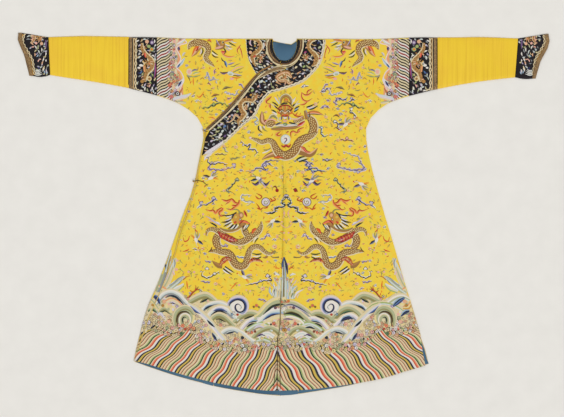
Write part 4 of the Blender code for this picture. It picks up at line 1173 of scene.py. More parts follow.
def skirt_dragon(s):
    """The right dragon and the pearl that it chases."""
    # its limbs and coil, back to front
    sew(s, """
        scales | 1.5 | 5 7 7.4 7 4 | 352.6,232.6 356,237.4 356.6,242 354.6,246.4 352,249
        scales | 4 -1 | 0.6 3.6 5.6 6.2 6.6 7.2 7.4 7.4 6.8 6.2 5.8 5.2 4.8 4.6 4.2 3.6 2.4 0.8 |
            363.4,251.8 357,250.8 350.6,251.6 344.4,252.6 340.8,256.2 339.2,260.6 336,264.6 331,266.2
            327,263.6 325.4,258.4 323.6,251.6 320.6,247.6 316.4,246.2 312,247.6 308.6,250.8 304.6,253.4
            301,253.2 298,250.4
        umber | 8 | 0.5 1.4 0.4 | 360.6,247 361.6,250 364.4,252
        scales | 8 | 0.6 4.2 6 6.2 6.8 6.4 5.6 6.4 6.6 6 5.2 4.2 2.8 0.6 | 311.5,221.4 311.7,226 314,230.6
            319,234 324.6,238.2 330,241.4 336,241.6 342,239.4 348,235.6 353,231.8 357.6,229.4 362,229
            365.4,231 366.4,236
        scales | 11 | 4 6 5 | 325,236.6 327,231.6 328.6,227
        olive brown tan cream | 11 3 | 3 4 3.6 3 1.4 | 331,226.6 336,229.4 342,231.2 348,230.6 353,228
        red orange | 14 | 1.6 3 1 | 316.4,228.6 319,230.4 320.6,233.6
        # fire along its flanks
        crimson red salmon red crimson | 15 | 1.6 6.2 6.2 3.8 0.8 | 335.6,240.4 339,239.6 344,238.4
            349.4,235.6 354.6,231.6
        magenta pink | 21 | 1 2.2 0.6 | 338,240.4 341.4,239.4 344,238.4
        hatch crimson gold crimson tan | 22 | 1.6 6.2 6.2 3.8 0.8 | 335.6,240.4 339,239.6 344,238.4
            349.4,235.6 354.6,231.6
        hatch crimson gold tan | 18 | 2 4.8 4.4 1.4 | 341.6,259.6 346,258.6 349.4,261.4 352.6,265
        hatch crimson tan gold | 8 | 3 4.2 3 0.6 | 324.6,262.6 319,259.6 313.4,260.4 309.6,262.4
        crimson red | 19 | 1.6 1.6 0.5 | 353.6,233 351.6,237 347,240
        crimson rose red | 12 | 2 4.8 4.4 1.4 | 341.6,259.6 346,258.6 349.4,261.4 352.6,265
        crimson orange | 17 | 0.6 1.5 0.5 | 345,257 349.6,258.6 352.8,263.6
        tan brown | 9 | 5 5 3.4 0.5 | 350.4,266 354.4,265.4 358,263 360.4,260.8
        rose red crimson | 3 | 3 4.2 3 0.6 | 324.6,262.6 319,259.6 313.4,260.4 309.6,262.4
        tan brown | 3 | 2.4 2.2 0.4 | 305,256 307.6,257.6 310,257.2
        olive umber | 3 | 1.6 1 0.8 0.4 | 293.6,257 297,257.4 300.4,257 303,254
        olive | 9 | 1.2 1.6 | 297,250.8 299.4,253.6
        # talons
        locks ink white pine white lavender | 6 | 1.2 | 317,236 319.4,239 321.4,242.4; 315.8,237 318,239.6
            319.6,243; 314.4,238 316.6,240.4 318,243.4; 318,235.6 320.6,238; 313.6,236.4 315.6,238
        locks pine white pine | 10 | 1.3 | 311,253.8 316,254.4 321,253; 312.4,255.8 317,256.6 321,255.8;
            311.4,256.8 315.6,258.8 319.6,259
        locks ink white ink white | 12 | 1.4 | 347.6,266.4 343.6,269.4 338,272.6; 347.4,268 343.6,270.6
            340,272.8; 349.4,268.4 345.4,271.6 340.2,275; 349.6,270 346.4,272.4 343,274
        locks lilac ink olive white rose | 12 | 1.6 | 352,225 358,221.8 363,218 367.4,216; 355.6,226.6
            359,224.2 363,222.4; 356.8,219.6 360,218; 353,223.6 357,221.6; 360,221.6 364.4,220
        # the head, turned to the pearl, and its mane
        locks ink white ink lavender ink white ink white ink white ink white | 15 | 1.45 | 336,212.4
            340,214.8 345,215.8 351.4,215; 340.6,215.4 343.6,216.6 347,217; 338.6,214.4 340.4,217.6
            341.6,219.4; 341,217.8 344.4,219.8 348,220.4; 341.6,219.4 346,221.8 351.4,222.4; 341,221
            345.4,223.4 349,224.4; 342,222.4 345.6,224.6 349,226.8; 340.2,223 343.6,226 346.6,227.6;
            339,224.4 342,227.4 344.6,229; 337.6,225 340,227.6 342.4,229; 335.8,224 338,227 340,229;
            334.4,224.8 336.2,227.4 338,229
        spot gold | 13 | 4.6 5.2 | 335.4,218.6
        spot rose tan | 15 | 2.6 3.2 | 331.4,215.2
        spot tan brown | 13 | 3.6 3 | 330,224.4
        red salmon orange | 17 | 1 2.4 2.6 1 | 322.6,224 326.6,222 330,221.4 334,222.6
        crimson | 20 | 0.5 1.2 0.4 | 328.6,220.6 331.6,222.4 333,224.6
        pine | 17 | 1 1.4 0.5 | 322.6,223.4 325,227 328.6,231
        locks mist white ink | 19 | 1.2 | 324.4,225 327,228.6; 326.4,224.8 329,229; 328.6,225.4 330,228
        red | 19 | 1.4 2.2 | 336.2,221.4 338.4,223.4
        spot white umber | 19 2 | 1.1 | 332.4,219.4
        spot yellow | 18 2 | 1.4 | 336.8,217
        crimson red | 14 | 0.8 2.4 1.2 | 325.6,216.6 327.2,213.6 328.4,210.8
        olive | 14 | 1.6 1.2 0.9 0.3 | 333.2,215 333.4,211.2 336,209.6 340,209.8
        # flames off its shoulders and the pearl it chases
        flame | 1 | 1.6 | 333,200 333.8,203.8 337,206.6 341.4,209.8 345.4,209.2; 333.8,203.8 337.6,202.8
            341,199.4 344,202.4 347.6,204.8; 341,199.4 346,201.2 351.4,199.2; 337,206.6 341,205.2
        flame | 1 | 1.5 | 349.4,208 350.4,210.6 353,212.4 352,215.6 347.6,215.8; 350.4,207.8 354,210
            357,213.4 359.4,210.6 362.4,211 367.6,209.2; 357,213.4 355.4,209.4
        spot purple umber | 2 2 | 4.6 4.6 0 0.85 | 306.8,202
        spot white lavender | 4 | 3.9 | 306.8,202
    """)
    s.spiral(306.9, 202, 2.7, 1.3, 0.8, "olive", 8, start=2)
    sew(s, """
        lilac | 9 | 0.5 1.3 0.4 | 305,204.4 307.4,205 309.4,203.6
        crimson orange | 3 | 0.8 1.6 1.2 0.3 | 303,202 300,200.8 297.2,199.6 300,196.8; 300,200.8 303,198;
            312.6,199 311,196.4 316.4,193.2; 312.6,199 315,198.4 317.4,195.6; 304.4,206.6 306.6,208 310,208;
            309.4,207.6 312.4,209.6 314,206.6 316.4,203.4; 312.4,209.6 316,207.8
    """)


def skirt_sky(s):
    """Clouds, cranes, bats and flowers round the dragon."""
    sew(s, """
        cloud lilac navy | 1.1 | 308,165,2.4,100 306,170,1.6,250 | 293,160.5 305.5,161.5 310,166 306,170.5
            315,168 320,171.5 327,171.5
        cloud lilac purple | 1.1 | 338.5,165,2.4,140 358,172,2,250 364,169,1.5,0 | 336.5,166.5 344,168.5
            352,170.3 359,169.5 364.5,168.5 361,163.5 354.5,160.3
        cloud moss ink | 1.1 | 335.5,179.5,2.3,100 345,190,2,0 | 335,179 338,183 341.5,187 345,190.5
            339.5,192.5
        cloud lilac pine | 1.1 | 287,195.6,1.9,110 | 286.5,195.5 290.5,201 288.5,206 297,208 298,212
            305.5,213.3
        cloud mist ink | 1.1 |  | 284,196 288,199 291,203 287,205 291,207.4 299,207.6
        cloud lavender ink | 1.1 |  | 294,207 297.4,210 298.4,213 303,213.4 309,213
        cloud white grey | 1.1 | 330,199.5,1.8,60 | 321,195.5 331,196 328,201 320,201.5 326,206
        cloud lilac navy | 1.1 | 359,198,2.2,100 371.5,203,2.4,30 | 357.5,205 360,202 357,198.5 366,205
            373,204
        cloud white grey | 1.1 |  | 372,204.5 375,209
        cloud lavender purple | 1.1 | 304.6,235,2,100 | 301.5,237.6 305,234.5 308,238.5 313,239
        cloud lilac purple | 1.1 | 347,245,1.7,90 | 344,245 348,246.5 352,245.5
        cloud white blue | 1.1 |  | 328,257 333,257.6 337,256.6
        cloud lavender ink | 1.1 | 305,275.6,2.4,80 312,281,1.8,100 | 301,275 304,277.5 300.5,280 309,281
            317,283.5 327,285.5
        cloud white ink | 1.1 | 365.5,268.5,2.2,90 358,273.5,1.8,110 | 353,271.5 358,275 366,278 371,275
            369,270.5
        cloud lilac purple | 1.1 |  | 362,281.5 367,282.5 372,281; 361,261.5 365,262 368,260.6; 306,301.5
            310,300 315,300
        # a bat, the cranes and their long legs
        purple ink | 2 | 0.4 3 2.4 3 0.4 | 321,182.5 317,184.6 312,181.5 307,185 302.6,181
        spot purple grey | 4 2 | 2.1 | 312.4,179.5
        lilac | 4 | 0.5 1.6 | 307,186.5 311,182
        olive | 3 | 1.2 1 0.2 | 314,179 319,176.4 325,177.4; 317,180 322,180; 316,177 319,174.8
        crane sky navy | 70 | 1 | 376.5,240
        crane lilac ink | 150 | -1 | 300,221
        crane mist purple | 30 | -1 | 328,277
        flower sand | 2.6 | 60 130 250 | 291.4,177
        flower peach | 2.1 20 | 10 200 | 331.5,186.6
        flower pink | 1.8 | 340 200 | 348.5,190.6
        flower pink | 2.9 10 |  | 298,246.5
        flower pink | 2.6 | 100 150 250 | 378.5,226.5
        flower pink | 2.4 30 | 40 160 190 350 | 332.5,247.5
        flower pink | 2.9 | 20 90 160 300 | 310,288.5
        flower pink | 2.2 |  | 357,283.8
        flower peach | 1.9 | 150 | 295.5,236
        flower peach | 2.3 | 340 | 370,248.5
        flower pink | 1.8 |  | 322,275
        flower pink | 0.1 |  | 343,190
        spot crimson | 2 2 | 1.8 | 295.5,190.4
    """)
    for x, y, turn, size in rows("""
        300.5 190.5 80 3; 296 196 330 2.6; 303.5 188.7 20 3; 366 190.5 280 3.6; 368 196 60 3; 293 232 190 3
        291 240 30 3.4; 301 264 30 3.2; 286.5 243.5 60 3; 372.5 219.5 120 4; 380.5 251 330 4
        330 178 200 2.8; 364.5 235.5 20 2.6; 372 254 60 3; 390 263.5 30 4; 384 270 200 4; 339 283 200 4
        294 262 200 4; 352 286 30 3; 381 277 60 4; 389 272 20 5; 318 291 0 3; 344 290 180 3; 324 294 60 3
        289 226 70 3; 286 218 110 3.4
    """):
        sprig(s, x, y, turn, size)
    for line in rows("""
        290,219 288,213 291,208; 286.6,228 290,226 293,222; 375,232 378,229.5
        383,236 384.5,240 388,241.4 389.6,237; 383.5,249 386,250.6 390,251.6
    """):
        s.stroke(line, [0.5, 1.3, 0.3], "rose" if line[0][0] < 300 else "red", 2)
    sew(s, """
        orange | 2 | 1.2 1 0.3 | 336,282.5 340,287 342,289
        orange | 2 | 1 0.3 | 292,231.5 288.5,232
        orange | 2 | 2 0.6 | 289,269 292.5,267
    """)
    filler(s, seed=41, box=(287, 168, 392, 296), count=270)


# ---------------------------------------------------------------- the field: chest, shoulders and sleeves

FACE = 285  # the middle of the chest dragon's face
FEATURES = (  # eye, lid, cheek and the side of its snout: lift, crown, widths, hues, places as (from FACE, y)
    (16, 1, [0.6, 1.5, 0.4], "cream", ((1.6, 111.6), (3.4, 111), (5.2, 112.6))),
    (18, 1, [0.4, 0.9, 0.3], "ink", ((1.2, 110.8), (3.6, 109.8), (6, 111.2))),
    (14, 2.5, [1, 1.5, 0.4], "orange+red", ((4.6, 113.6), (6.6, 112.8), (7.4, 110.8))),
    (17, 2.5, [0.7, 1.2, 0.4], "gold+brown", ((1.0, 113.4), (2.6, 114.2), (3.8, 116))),
)


def chest_dragon(s):
    """The dragon that faces the viewer, over its pearl."""
    # limbs, back to front
    sew(s, """
        tan rose brown | 2 4 | 1 4.6 5.6 4 | 262,111.4 262,116 262.4,121 266,124.6
        scales | 4 | 4 7.4 5 | 266.4,124.4 270.6,123.4 275,122
        cream olive olive | 5 | 1 3.4 4 1.4 | 268.6,119.4 271,116.4 274,115.6 277.6,118.6
        scales | 4 | 3 5 3.6 | 294,122 298.6,119.8 304,117.6
        grey tan brown | 3 | 2.6 4.4 5 | 305,110.6 306.4,114.6 307.6,119
        tan orange rose umber | 4 3 | 2.4 4.2 3.6 0.5 | 307.4,113.6 312,112.6 317,113 323,114.8
        brown rose tan brown | 3 4 | 0.6 4 6 7 | 262,159.6 266.4,156.8 272,154.4 280,152.4
        rose brown brown | 3 4 | 7 6.4 5 4.2 0.6 | 297,150.4 304,153 309.4,155 313.8,152.6 317.6,148
        scales | 5 -1 | 5 7.4 8 7.6 5 | 308.6,117.4 312,121.4 313.4,126 312.8,130.6 309.6,134.4
        scales | 8 -1 | 0.8 4.6 7 7.6 7.8 8.4 8.8 8.4 7.8 6.8 5.6 4.6 4.2 3.4 1.2 | 317.6,131.8 312.4,135.2
            306,137.6 300.4,140.6 297,145 294.6,150 290,154 284.4,155.4 279,152.6 275.6,147.4 273,142.4
            268.4,140.2 262,142 257,140 250.4,137.8
        spot white pink | 14 2 | 1.6 1.2 | 250.4,137.8
        red orange crimson | 16 | 1 2.8 0.6 | 274,157.6 278,157.4 283,157.8
        crimson salmon red | 16 | 0.6 2.4 2.2 0.6 | 300,146.6 303.8,148.2 306.4,151.4 310.4,152.2
        crimson pink | 9 | 2 2.4 | 264.6,122 266.4,120.4
        umber | 10 | 0.6 1.3 0.6 | 309,112.4 309.8,115.6 308.6,119.4
        locks ink lavender pine | 6 | 1.5 | 306.4,107.4 310.6,106 314.6,104; 307.4,108.4 311.6,107.6
            316,105.6; 309.4,109.6 313.6,108.4 318,105.6
        locks ink white olive lavender | 6 | 1.5 | 258.6,125.8 258.6,129.4 262.6,133; 260,126 261,128.6
            262,130.6; 262,126.4 264,129.6 267.6,131.6; 263.4,126.2 265,128.4
        locks white olive | 8 | 1.3 | 262.4,153 266,152 270.6,149.4; 263.6,150 268,150 271.4,147.4
        locks pine mist pine | 6 | 1.7 | 296.4,160 300.6,157.4 305.4,156.4; 298,160.4 302.6,158.8 307,157.4;
            299,161.8 303.4,160.4 308.6,158.6
        # the beard and jaw
        olive brown tan brown | 9 3 | 1.8 3.8 4.4 3.6 1.6 | 271.4,129 278,128.8 286,127.6 294,127.4
            301,125.4
        mist cream lavender | 11 | 1 2 2.4 2 0.8 | 275.6,126 281.4,125.2 286,125.6 292,125.2 298,125
        locks navy steel | 14 | 1.3 | 275.8,124.8 279,123.4 282,122.6; 289,122.4 292.6,123.4 297,124.4
        crimson red pink | 14 | 1 3.8 1.2 | 297.4,126 301,124.4 304.8,121.4
        spot leaf green | 14 2 | 2.3 1.4 | 285.2,124.4
    """)
    # the mane, standing out all round
    left = rows("""
        272,102 278,106; 270.4,103.6 275.4,107.6; 272,105 278,109; 271.2,110 276.4,112.6; 271.8,112 277,114.6
        274.4,97 277.6,101.4; 276,99.4 279.4,104; 278.6,97.4 280.4,102.6
    """)
    right = rows("""
        292.6,106.6 296,103.4; 294,107.4 298.8,100.4; 294.6,109.4 299.6,106.2; 294,112 298.6,109.6
        293.4,102 295.6,97.4; 292,104 293.6,99; 295.6,105.4 300,103.4; 294.6,110.6 299,108
    """)
    for hairs, widths in ((left, (0.5, 1.4, 1.1)), (right, (1.1, 1.4, 0.4))):
        for ((x0, y0), (x1, y1)), hue in zip(hairs, "ink cream ink pine white lavender mist sky".split()):
            s.stroke([(x0, y0), ((x0 + x1) / 2, (y0 + y1) / 2 - 0.4), (x1, y1)], widths, hue, 10)
    # the face: horned brow, eyes, snout, whiskers and tongue
    sew(s, """
        cream olive tan brown | 12 3 | 1.4 3 3.4 3.6 3.4 3 1.6 | 280.6,103.6 280.8,99.6 283,96.4 286.4,95.4
            289.6,97.4 291.4,101 291.2,104.6
        spot gold tan | 12 | 2.2 | 286.2,100.4
        orange | 16 | 0.4 1.2 0.4 | 284.4,100.6 286.2,99 288,100.8
        ink | 16 | 0.8 1.4 0.8 | 280.6,104.8 284,103.4 287.6,103.4
        umber | 16 | 0.5 1.3 0.5 | 287.4,101.4 290,103.4 292.4,106.6
        spot tan brown | 11 4 | 7 4.4 0 0.8 | 285.2,108.8
    """)
    for k in range(9):  # rows of brow and cheek stitches
        x = 279.4 + k * 1.45
        line = [(x, 107.6 - 1.7 * math.sin((k + 0.5) * 0.35)), (285.2 + (x - 285.2) * 0.75, 110)]
        s.stroke(line, [1.1, 0.5], ("gold", "orange", "yellow")[k % 3], 16, 1)
    sew(s, """
        crimson | 18 1 | 0.6 0.9 0.9 0.9 0.5 | 278,108.8 281,106.4 284.6,105.6 288.6,106 292.6,109
        maroon | 18 1 | 0.6 1.2 0.4 | 277,107.6 279,109.8 282.4,110
        maroon | 18 1 | 0.4 1.2 0.6 | 288.4,110 291.4,109.8 293.4,107.6
        spot tan brown | 11 4 | 4.8 3.8 0 0.7 | 285,113.6
    """)
    for side in (-1, 1):
        for lift, crown, widths, hues, points in FEATURES:
            s.stroke([(FACE + side * out, y) for out, y in points], widths, hues, lift, crown)
        s.disc(FACE + side * 3.3, 111.6, 0.65, "ink", 18, 1)
    sew(s, """
        pink cream | 18 | 0.6 1.8 0.6 | 283.6,112 285,113 286.6,112
        orange red crimson | 18 | 0.8 1.7 2 1.7 0.8 | 281.4,116.4 283.2,115 285,115.6 286.8,115 288.8,116.4
        white lavender | 16 | 1 2 1 | 283.4,117.4 285,118.2 286.8,117.4
        pink rose | 16 | 1 2.2 1 | 283,120.4 285,121.4 287.2,120.4
    """)
    for x, y in ((281.6, 118.6), (288.6, 118.6)):  # beside the mouth
        out = x - FACE
        s.stroke([(x, y - 2), (x, y + 1.6)], [0.6, 1.3, 0.5], "purple", 16)
        s.stroke([(x + out * 0.4, y - 1.6), (x + out * 0.6, y + 1.6)], [0.5, 1, 0.3], "mist", 15)
    sew(s, """
        sand cream | 13 | 0.8 1.5 0.5 | 278,117.6 278,120.6 281.6,122.4
        pink | 14 | 0.6 1.3 1.3 0.5 | 277,121.8 273,119.6 269,119.4 266,121
        cream pink | 14 | 0.8 1.5 1.4 0.5 | 288.8,116.6 292,118.8 297,119 303,116.2
        orange crimson | 12 | 0.6 1.5 1.2 0.4 | 292.4,113 295.4,115.6 299,116.4 303.4,115.8
        red | 12 | 1.2 0.3 | 295.6,115.4 297.6,112.4
        # its pearl and flames
        spot lavender mist | 12 | 4.9 | 285.6,139.4
        spot white | 14 | 3.6 | 285.6,139.2
        umber purple | 18 | 0.6 1.2 1.1 1 0.5 | 284,138.6 286,138.2 286.8,140 285.4,141.6 284.4,143.4
        red crimson | 16 | 0.8 1.9 1.9 1.9 0.6 | 281.4,145.6 284,146.8 286,145.2 288.6,146.8 291,144.2
        crimson orange peach | 10 | 0.5 1.9 1.6 0.4 | 280.6,131.4 278,133 276.2,135 279.4,136 281.8,134;
            291.4,137.6 290.8,133.6 293,131.4 297,133 300.4,131; 297,132.8 299.4,129.6 304,127.4;
            286.4,133.2 289,131.2
        crimson orange peach | 10 | 0.5 2.2 2.4 1 0.3 | 271.6,96.4 268.8,98.6 266,101 267,103.4 270.4,103.8;
            270.2,103.6 269.6,106.4 271,109
        crimson orange peach | 2 | 0.8 1.9 1.7 0.4 | 301.6,92.4 301.4,97 303.6,100.4 307.6,101.4 312.4,98.4;
            301.8,92.8 305,95.2 309,94.6 312.8,90.8; 307,94.8 308,91.4 312,89; 307.6,101.4 303.8,104.2
            299.8,104.8
    """)


def chest_sky(s):
    """Clouds, flowers and cranes round the chest's dragon."""
    sew(s, """
        cloud lavender ink | 1.1 | 243.4,145,1.5,120 | 240.6,140.6 243.6,144.4 247,146.4 250.4,144.6
            248.4,149.8 253.6,149.4 256.6,152 254,156.4
        cloud mist ink | 1.1 | 321.6,127.6,1.8,110 | 317.6,126 321.6,128.4 320.6,132.6 324,136.6 328.6,135.4
        cloud lavender navy | 1.1 | 323.5,90,2.1,90 329,89,1.6,90 | 320,92.5 326,89.5 332,88
        cloud lilac purple | 1.1 | 325,106.4,2.1,90 | 320,108.5 325,106.5 330,108.5
        cloud white navy | 1.1 | 304.4,86,1.8,90 | 301,87.5 304.5,86 308.5,86.8
        cloud lilac navy | 1.1 | 309,163.4,2.1,90 | 304,165 309,163.4 314,165
        cloud mist grey | 1.1 |  | 251.4,118.6 254.6,117.4 257.4,119 254.4,122.6 257,124.6 259.4,122.6
        cloud lavender grey | 1.1 |  | 342.6,151.6 347.6,153.4 352,155.4 357.6,156.6 361.6,164.6 365,169.4
            358,171 350.6,169.8 343.6,168.4 337,166.6 341.6,162
        cloud white ink | 1.1 | 335,121.6,2.2,110 340,129.8,1.7,60 | 333,121 338,124 337,128 343,131
        cloud sky navy | 1.1 |  | 305.6,163.4 308.6,167.4 312.4,171.4 318.6,170.8 325.6,172
        cloud lavender ink | 1.1 |  | 209.4,156.6 207.6,160.6 209.4,163.8 214,164.2 219.6,163 227.4,164.6
        cloud sand umber | 1.1 |  | 214.4,154.2 220.6,154.4 227.4,155
        cloud lilac olive | 1.1 |  | 224.6,146.6 224.8,150.4 227.8,153
        cloud olive olive | 1.1 |  | 229.6,158.6 235,159 240.4,157.4
        cloud lavender navy | 1.1 | 267.6,164,2,90 | 262,166 268,164 273,166.6
        cloud lilac navy | 1.1 | 338,99.4,2.1,100 | 334,103 338,99 344,100 348,97
        cloud white ink | 1.1 | 351.5,109,2.2,160 354.6,117,1.7,20 | 352,107 350,112 355,115 354,120
        cloud pink umber | 1.1 | 347,138,1.8,90 | 340,138.6 344.4,140.6 349,140.2 354,141.4
        cloud lilac ink | 1.1 | 327,160,2,90 | 322,158.5 327,161 333,159
        flower pink | 2.2 | 20 160 250 | 256,108.5
        flower pink | 1.7 10 | 200 | 266,112
        flower pink | 2.2 | 30 300 | 315.5,104
        flower pink | 2.6 | 20 100 210 | 318,142
        flower peach | 2.2 | 60 200 | 338,140
        flower pink | 2.3 | 150 320 | 346,124
        flower pink | 2.2 | 30 210 | 245,128
        flower pink | 2.4 | 80 180 300 | 236,147
        flower peach | 2 | 120 330 | 224,146
        flower pink | 2.4 | 40 160 280 | 303,172
        flower peach | 2.2 | 20 200 | 270,172.6
        flower pink | 2.4 | 60 180 300 | 225,169
        flower pink | 2.2 | 30 200 | 344,160
        flower pink | 2.2 | 100 240 | 361,128
        flower pink | 1.9 | 200 300 | 252,172
        flower pink | 2 | 100 300 | 326,117
        crane white umber | 18 | 1 | 211,178
        crane grey ink | 160 | -1 | 258.6,178.4
        crane lilac umber | 22 | 1 | 311.6,181
        crane white purple | 165 | -1 | 361.4,184
        crane grey purple | 35 | 1 | 345.6,124.6
        brown umber | 3 | 0.4 2.2 0.6 | 333,116.6 336.4,115 339.6,117.4
        brown | 3 | 0.3 1.2 0.4 | 333.6,129 336,127.4 338.6,128.6
    """)
    for x, y in ((275.4, 188), (295.6, 190.4)):
        s.stroke([(x - 2.6, y - 0.6), (x, y - 1.6), (x + 2, y + 1.4)], [0.4, 1.8, 0.8], "umber+crimson", 3)
    filler(s, seed=43, box=(203, 92, 366, 172), count=230)


def shoulder_dragon(s):
    """The left of the picture; the other shoulder mirrors it."""
    sew(s, """
        tan rose orange | 2 | 3 6 5 0.8 | 201.6,46 197,49 194.6,53 191.6,56.6
        scales | 1.5 | 6 6.6 4.6 1 | 199,44 194.6,43.2 190.6,45 188.4,49.6
        scales | 4 | 4.6 6.2 6.4 6 5.4 4.8 4.4 3.2 0.6 | 194,40.8 200,42.4 205,44 208.2,47.6 208,52.4
            206,56.4 207.4,60.2 211,63.2 214.6,66.6
        crimson red | 8 | 1 1.8 0.6 | 198.4,47 197,49.6 195.6,51
        orange brown | 7 | 1.4 2.6 0.6 | 207.4,41 209.4,40.2 211.4,42.4
        locks pine lavender | 9 | 1.2 | 202.8,48 202.8,52 200.4,56.6; 201,49 201.2,52.4 199.4,54.6
        locks pine white ink | 6 | 1.2 | 212,50.6 215.6,53.6 218,54.8; 211.8,52.4 215,55 218,55.8; 212,54.4
            214.6,56.8 218.6,57.4
        # the head and its mane
        spot tan brown | 5 4 | 4.8 4.6 | 220.6,45
        rose pink brown | 9 | 2 3.6 1 | 215.4,48.6 219,48 223,46.6
        lilac purple | 10 | 1 1.5 0.6 | 216.4,40 217.6,43 219.8,45.8
        spot moss gold | 9 | 2 2.3 | 222.8,42.4
        spot ink | 13 1 | 0.7 | 223.2,42.6
        orange tan rose | 8 | 1.6 2.8 1 | 224.6,41.6 228.6,40.6 233.4,40
        locks white grey pine white lilac ink mist | 9 | 1.2 | 225,44 228,45.4 231.6,45.4; 226,46 229.4,47
            232,47; 229,42.6 232.6,44.6 236,46.4; 228,47.6 230.6,49 232.6,48.6; 225.6,47.6 228,49.6
            229.6,51; 223.6,48 225.4,50.4 226.4,52.4; 231,41.4 234,42.6 237,42.8
        red salmon | 8 | 1.4 3.4 1.2 | 221.4,51 223,52.6 225.4,51.4
        umber | 11 | 0.5 1.1 0.4 | 224.4,49.6 225.4,52 224,54.6
        orange rose | 5 | 1 1.8 1.6 0.3 | 222.6,54.4 226,56.4 230.6,57 235,56
        flame | 1 | 0.8 | 240.6,44.8 238.4,47.6 237,50.4 238.6,54.2; 239.4,47 241,51 242.6,58.4
    """)


def shoulder_sky(s):
    """A bat, a crane, clouds and flowers on the left of the picture; the other shoulder mirrors them."""
    sew(s, """
        ink | 3 | 0.4 1.2 0.8 | 221.4,57.6 222.4,60.2 224.6,61.8
        sky blue navy | 4 | 1.6 3 0.5 | 224.8,61 226,64 226.8,67.4
        lilac purple | 4 | 0.8 2 0.4 | 228,64.6 230.6,63.8 234.6,62.6
        olive | 3 | 0.4 0.9 0.8 0.2 | 230.4,66.4 233.4,66.6 236.6,64.8 240.4,63.4
        umber purple | 4 | 0.5 2.6 0.8 | 220,72 223,73.4 228,72.4
        pink | 3 | 0.8 1.2 0.3 | 231,71.4 237,67.6 243.6,66.6
        olive | 3 | 0.8 1.2 0.3 | 232.6,72.6 238,70 243.8,67.6
        lilac | 3 | 0.8 1.2 0.3 | 234,73.6 238.6,74.8 241.6,75.4
        umber | 3 | 0.8 1.2 0.3 | 233,75.4 238,76 242,75.6
        orange | 3 | 0.8 1.2 0.3 | 232,77 237,78 241.6,77
        spot mist | 4 | 3.4 2 0.3 | 230.6,73.6
        spot moss | 6 2 | 1.9 1 | 230.4,74.2
        spot pink | 3 2 | 2.2 1.3 | 231.8,78.8
        cloud lilac grey | 1 | 207.4,76,1.6,90 | 203.6,76.6 206.4,77.2 207.4,73.6 208.8,77.4 209.6,81
            212.6,79.6 213.4,77.6 216,80.4 219.4,79.4
        cloud pink purple | 1 |  | 214.4,74.6 214.6,71.4 215.6,68.6
        cloud pink umber | 1 |  | 208.6,81.6 209.6,84.4 211,85.4
        cloud mist grey | 1 |  | 215.6,80.6 216.6,84
        cloud leaf ink | 1 | 213.6,104,1.8,90 | 201.4,108.2 205.6,107.6 209,108.2 210.6,105.8 214.6,105.8
            218,103.4 221.4,103.6 225.4,104.6 228,107.6
        cloud lilac ink | 1 | 215.4,98,1.5,90 | 211.4,100.2 214.4,99.4 216.6,101.4 218.4,102.6
        cloud lavender grey | 1 | 225.6,92.4,1.5,90 229.6,94,1.6,60 | 226,92 229.4,93.8 233,95 236.4,94.8
            237.2,91.4 240,90
        cloud lilac purple | 1 |  | 238.4,84 241,85 243.6,88.8
        cloud pink purple | 1 |  | 227,97.6 229.6,98.8 231.6,97
        cloud lilac purple | 1 |  | 234.8,90.8 236.2,91.8; 228.4,104.4 231.6,103.8 234,101
        cloud mist grey | 1 |  | 221.6,110.6 224.6,111.4
        olive umber | 4 | 0.4 2.8 0.6 | 222.4,89.6 226,87.6 230.6,87.4
        tan umber | 4 | 0.4 2.6 0.6 | 211.4,96.8 215,94.8 219.4,94.8
        orange | 2 | 0.4 1.2 0.3 | 196.6,95 198.6,97.2 201.4,95.6 204,91.4; 208.6,117.4 212,117.4
            215.6,119.4
        rose | 2 | 0.4 1.2 0.3 | 209.4,121 213,119 217,119.6
        orange | 2 | 0.4 1.2 0.3 | 193.4,78 193.2,82 193.9,85.4
        olive | 2 | 0.4 1.2 0.3 | 206.4,89.6 209,90.6 212,90.4; 198.6,87.4 200,88.8 200.6,90.2
        umber | 2 | 0.4 1.2 0.3 | 187.6,77 189.4,79 190,81.4
        tan | 2 | 0.4 1.2 0.3 | 200,79.6 202.6,77.8 204,79.6
        olive | 2 | 0.4 1.2 0.3 | 205,61.4 204.6,63.6
        # a fruit with leaves
        spot pink cream | 3 | 3 3.4 0 0.6 | 189.4,71.8
        purple grey | 4 | 0.6 2 0.3 | 191.4,71.6 194.4,70 198,69.8
        leaf sand | 4 | 0.8 2.4 0.4 | 192.6,74.6 196,73 199.8,72.6
        leaf olive | 3 | 0.5 1.7 0.3 | 191.6,77 196,76.4 200.6,75
        grey olive | 3 | 1.2 2 0.6 | 186.8,75.4 189.6,76.8 192,76
        flower pink | 1.9 | 100 200 | 203.6,67.6
        flower peach | 1.6 | 200 | 213.5,88
        flower sand | 1.5 | 30 160 | 207.6,112
        flower peach | 1.6 |  | 201,101.8
    """)
    filler(s, seed=45, box=(186, 56, 243, 124), count=100)


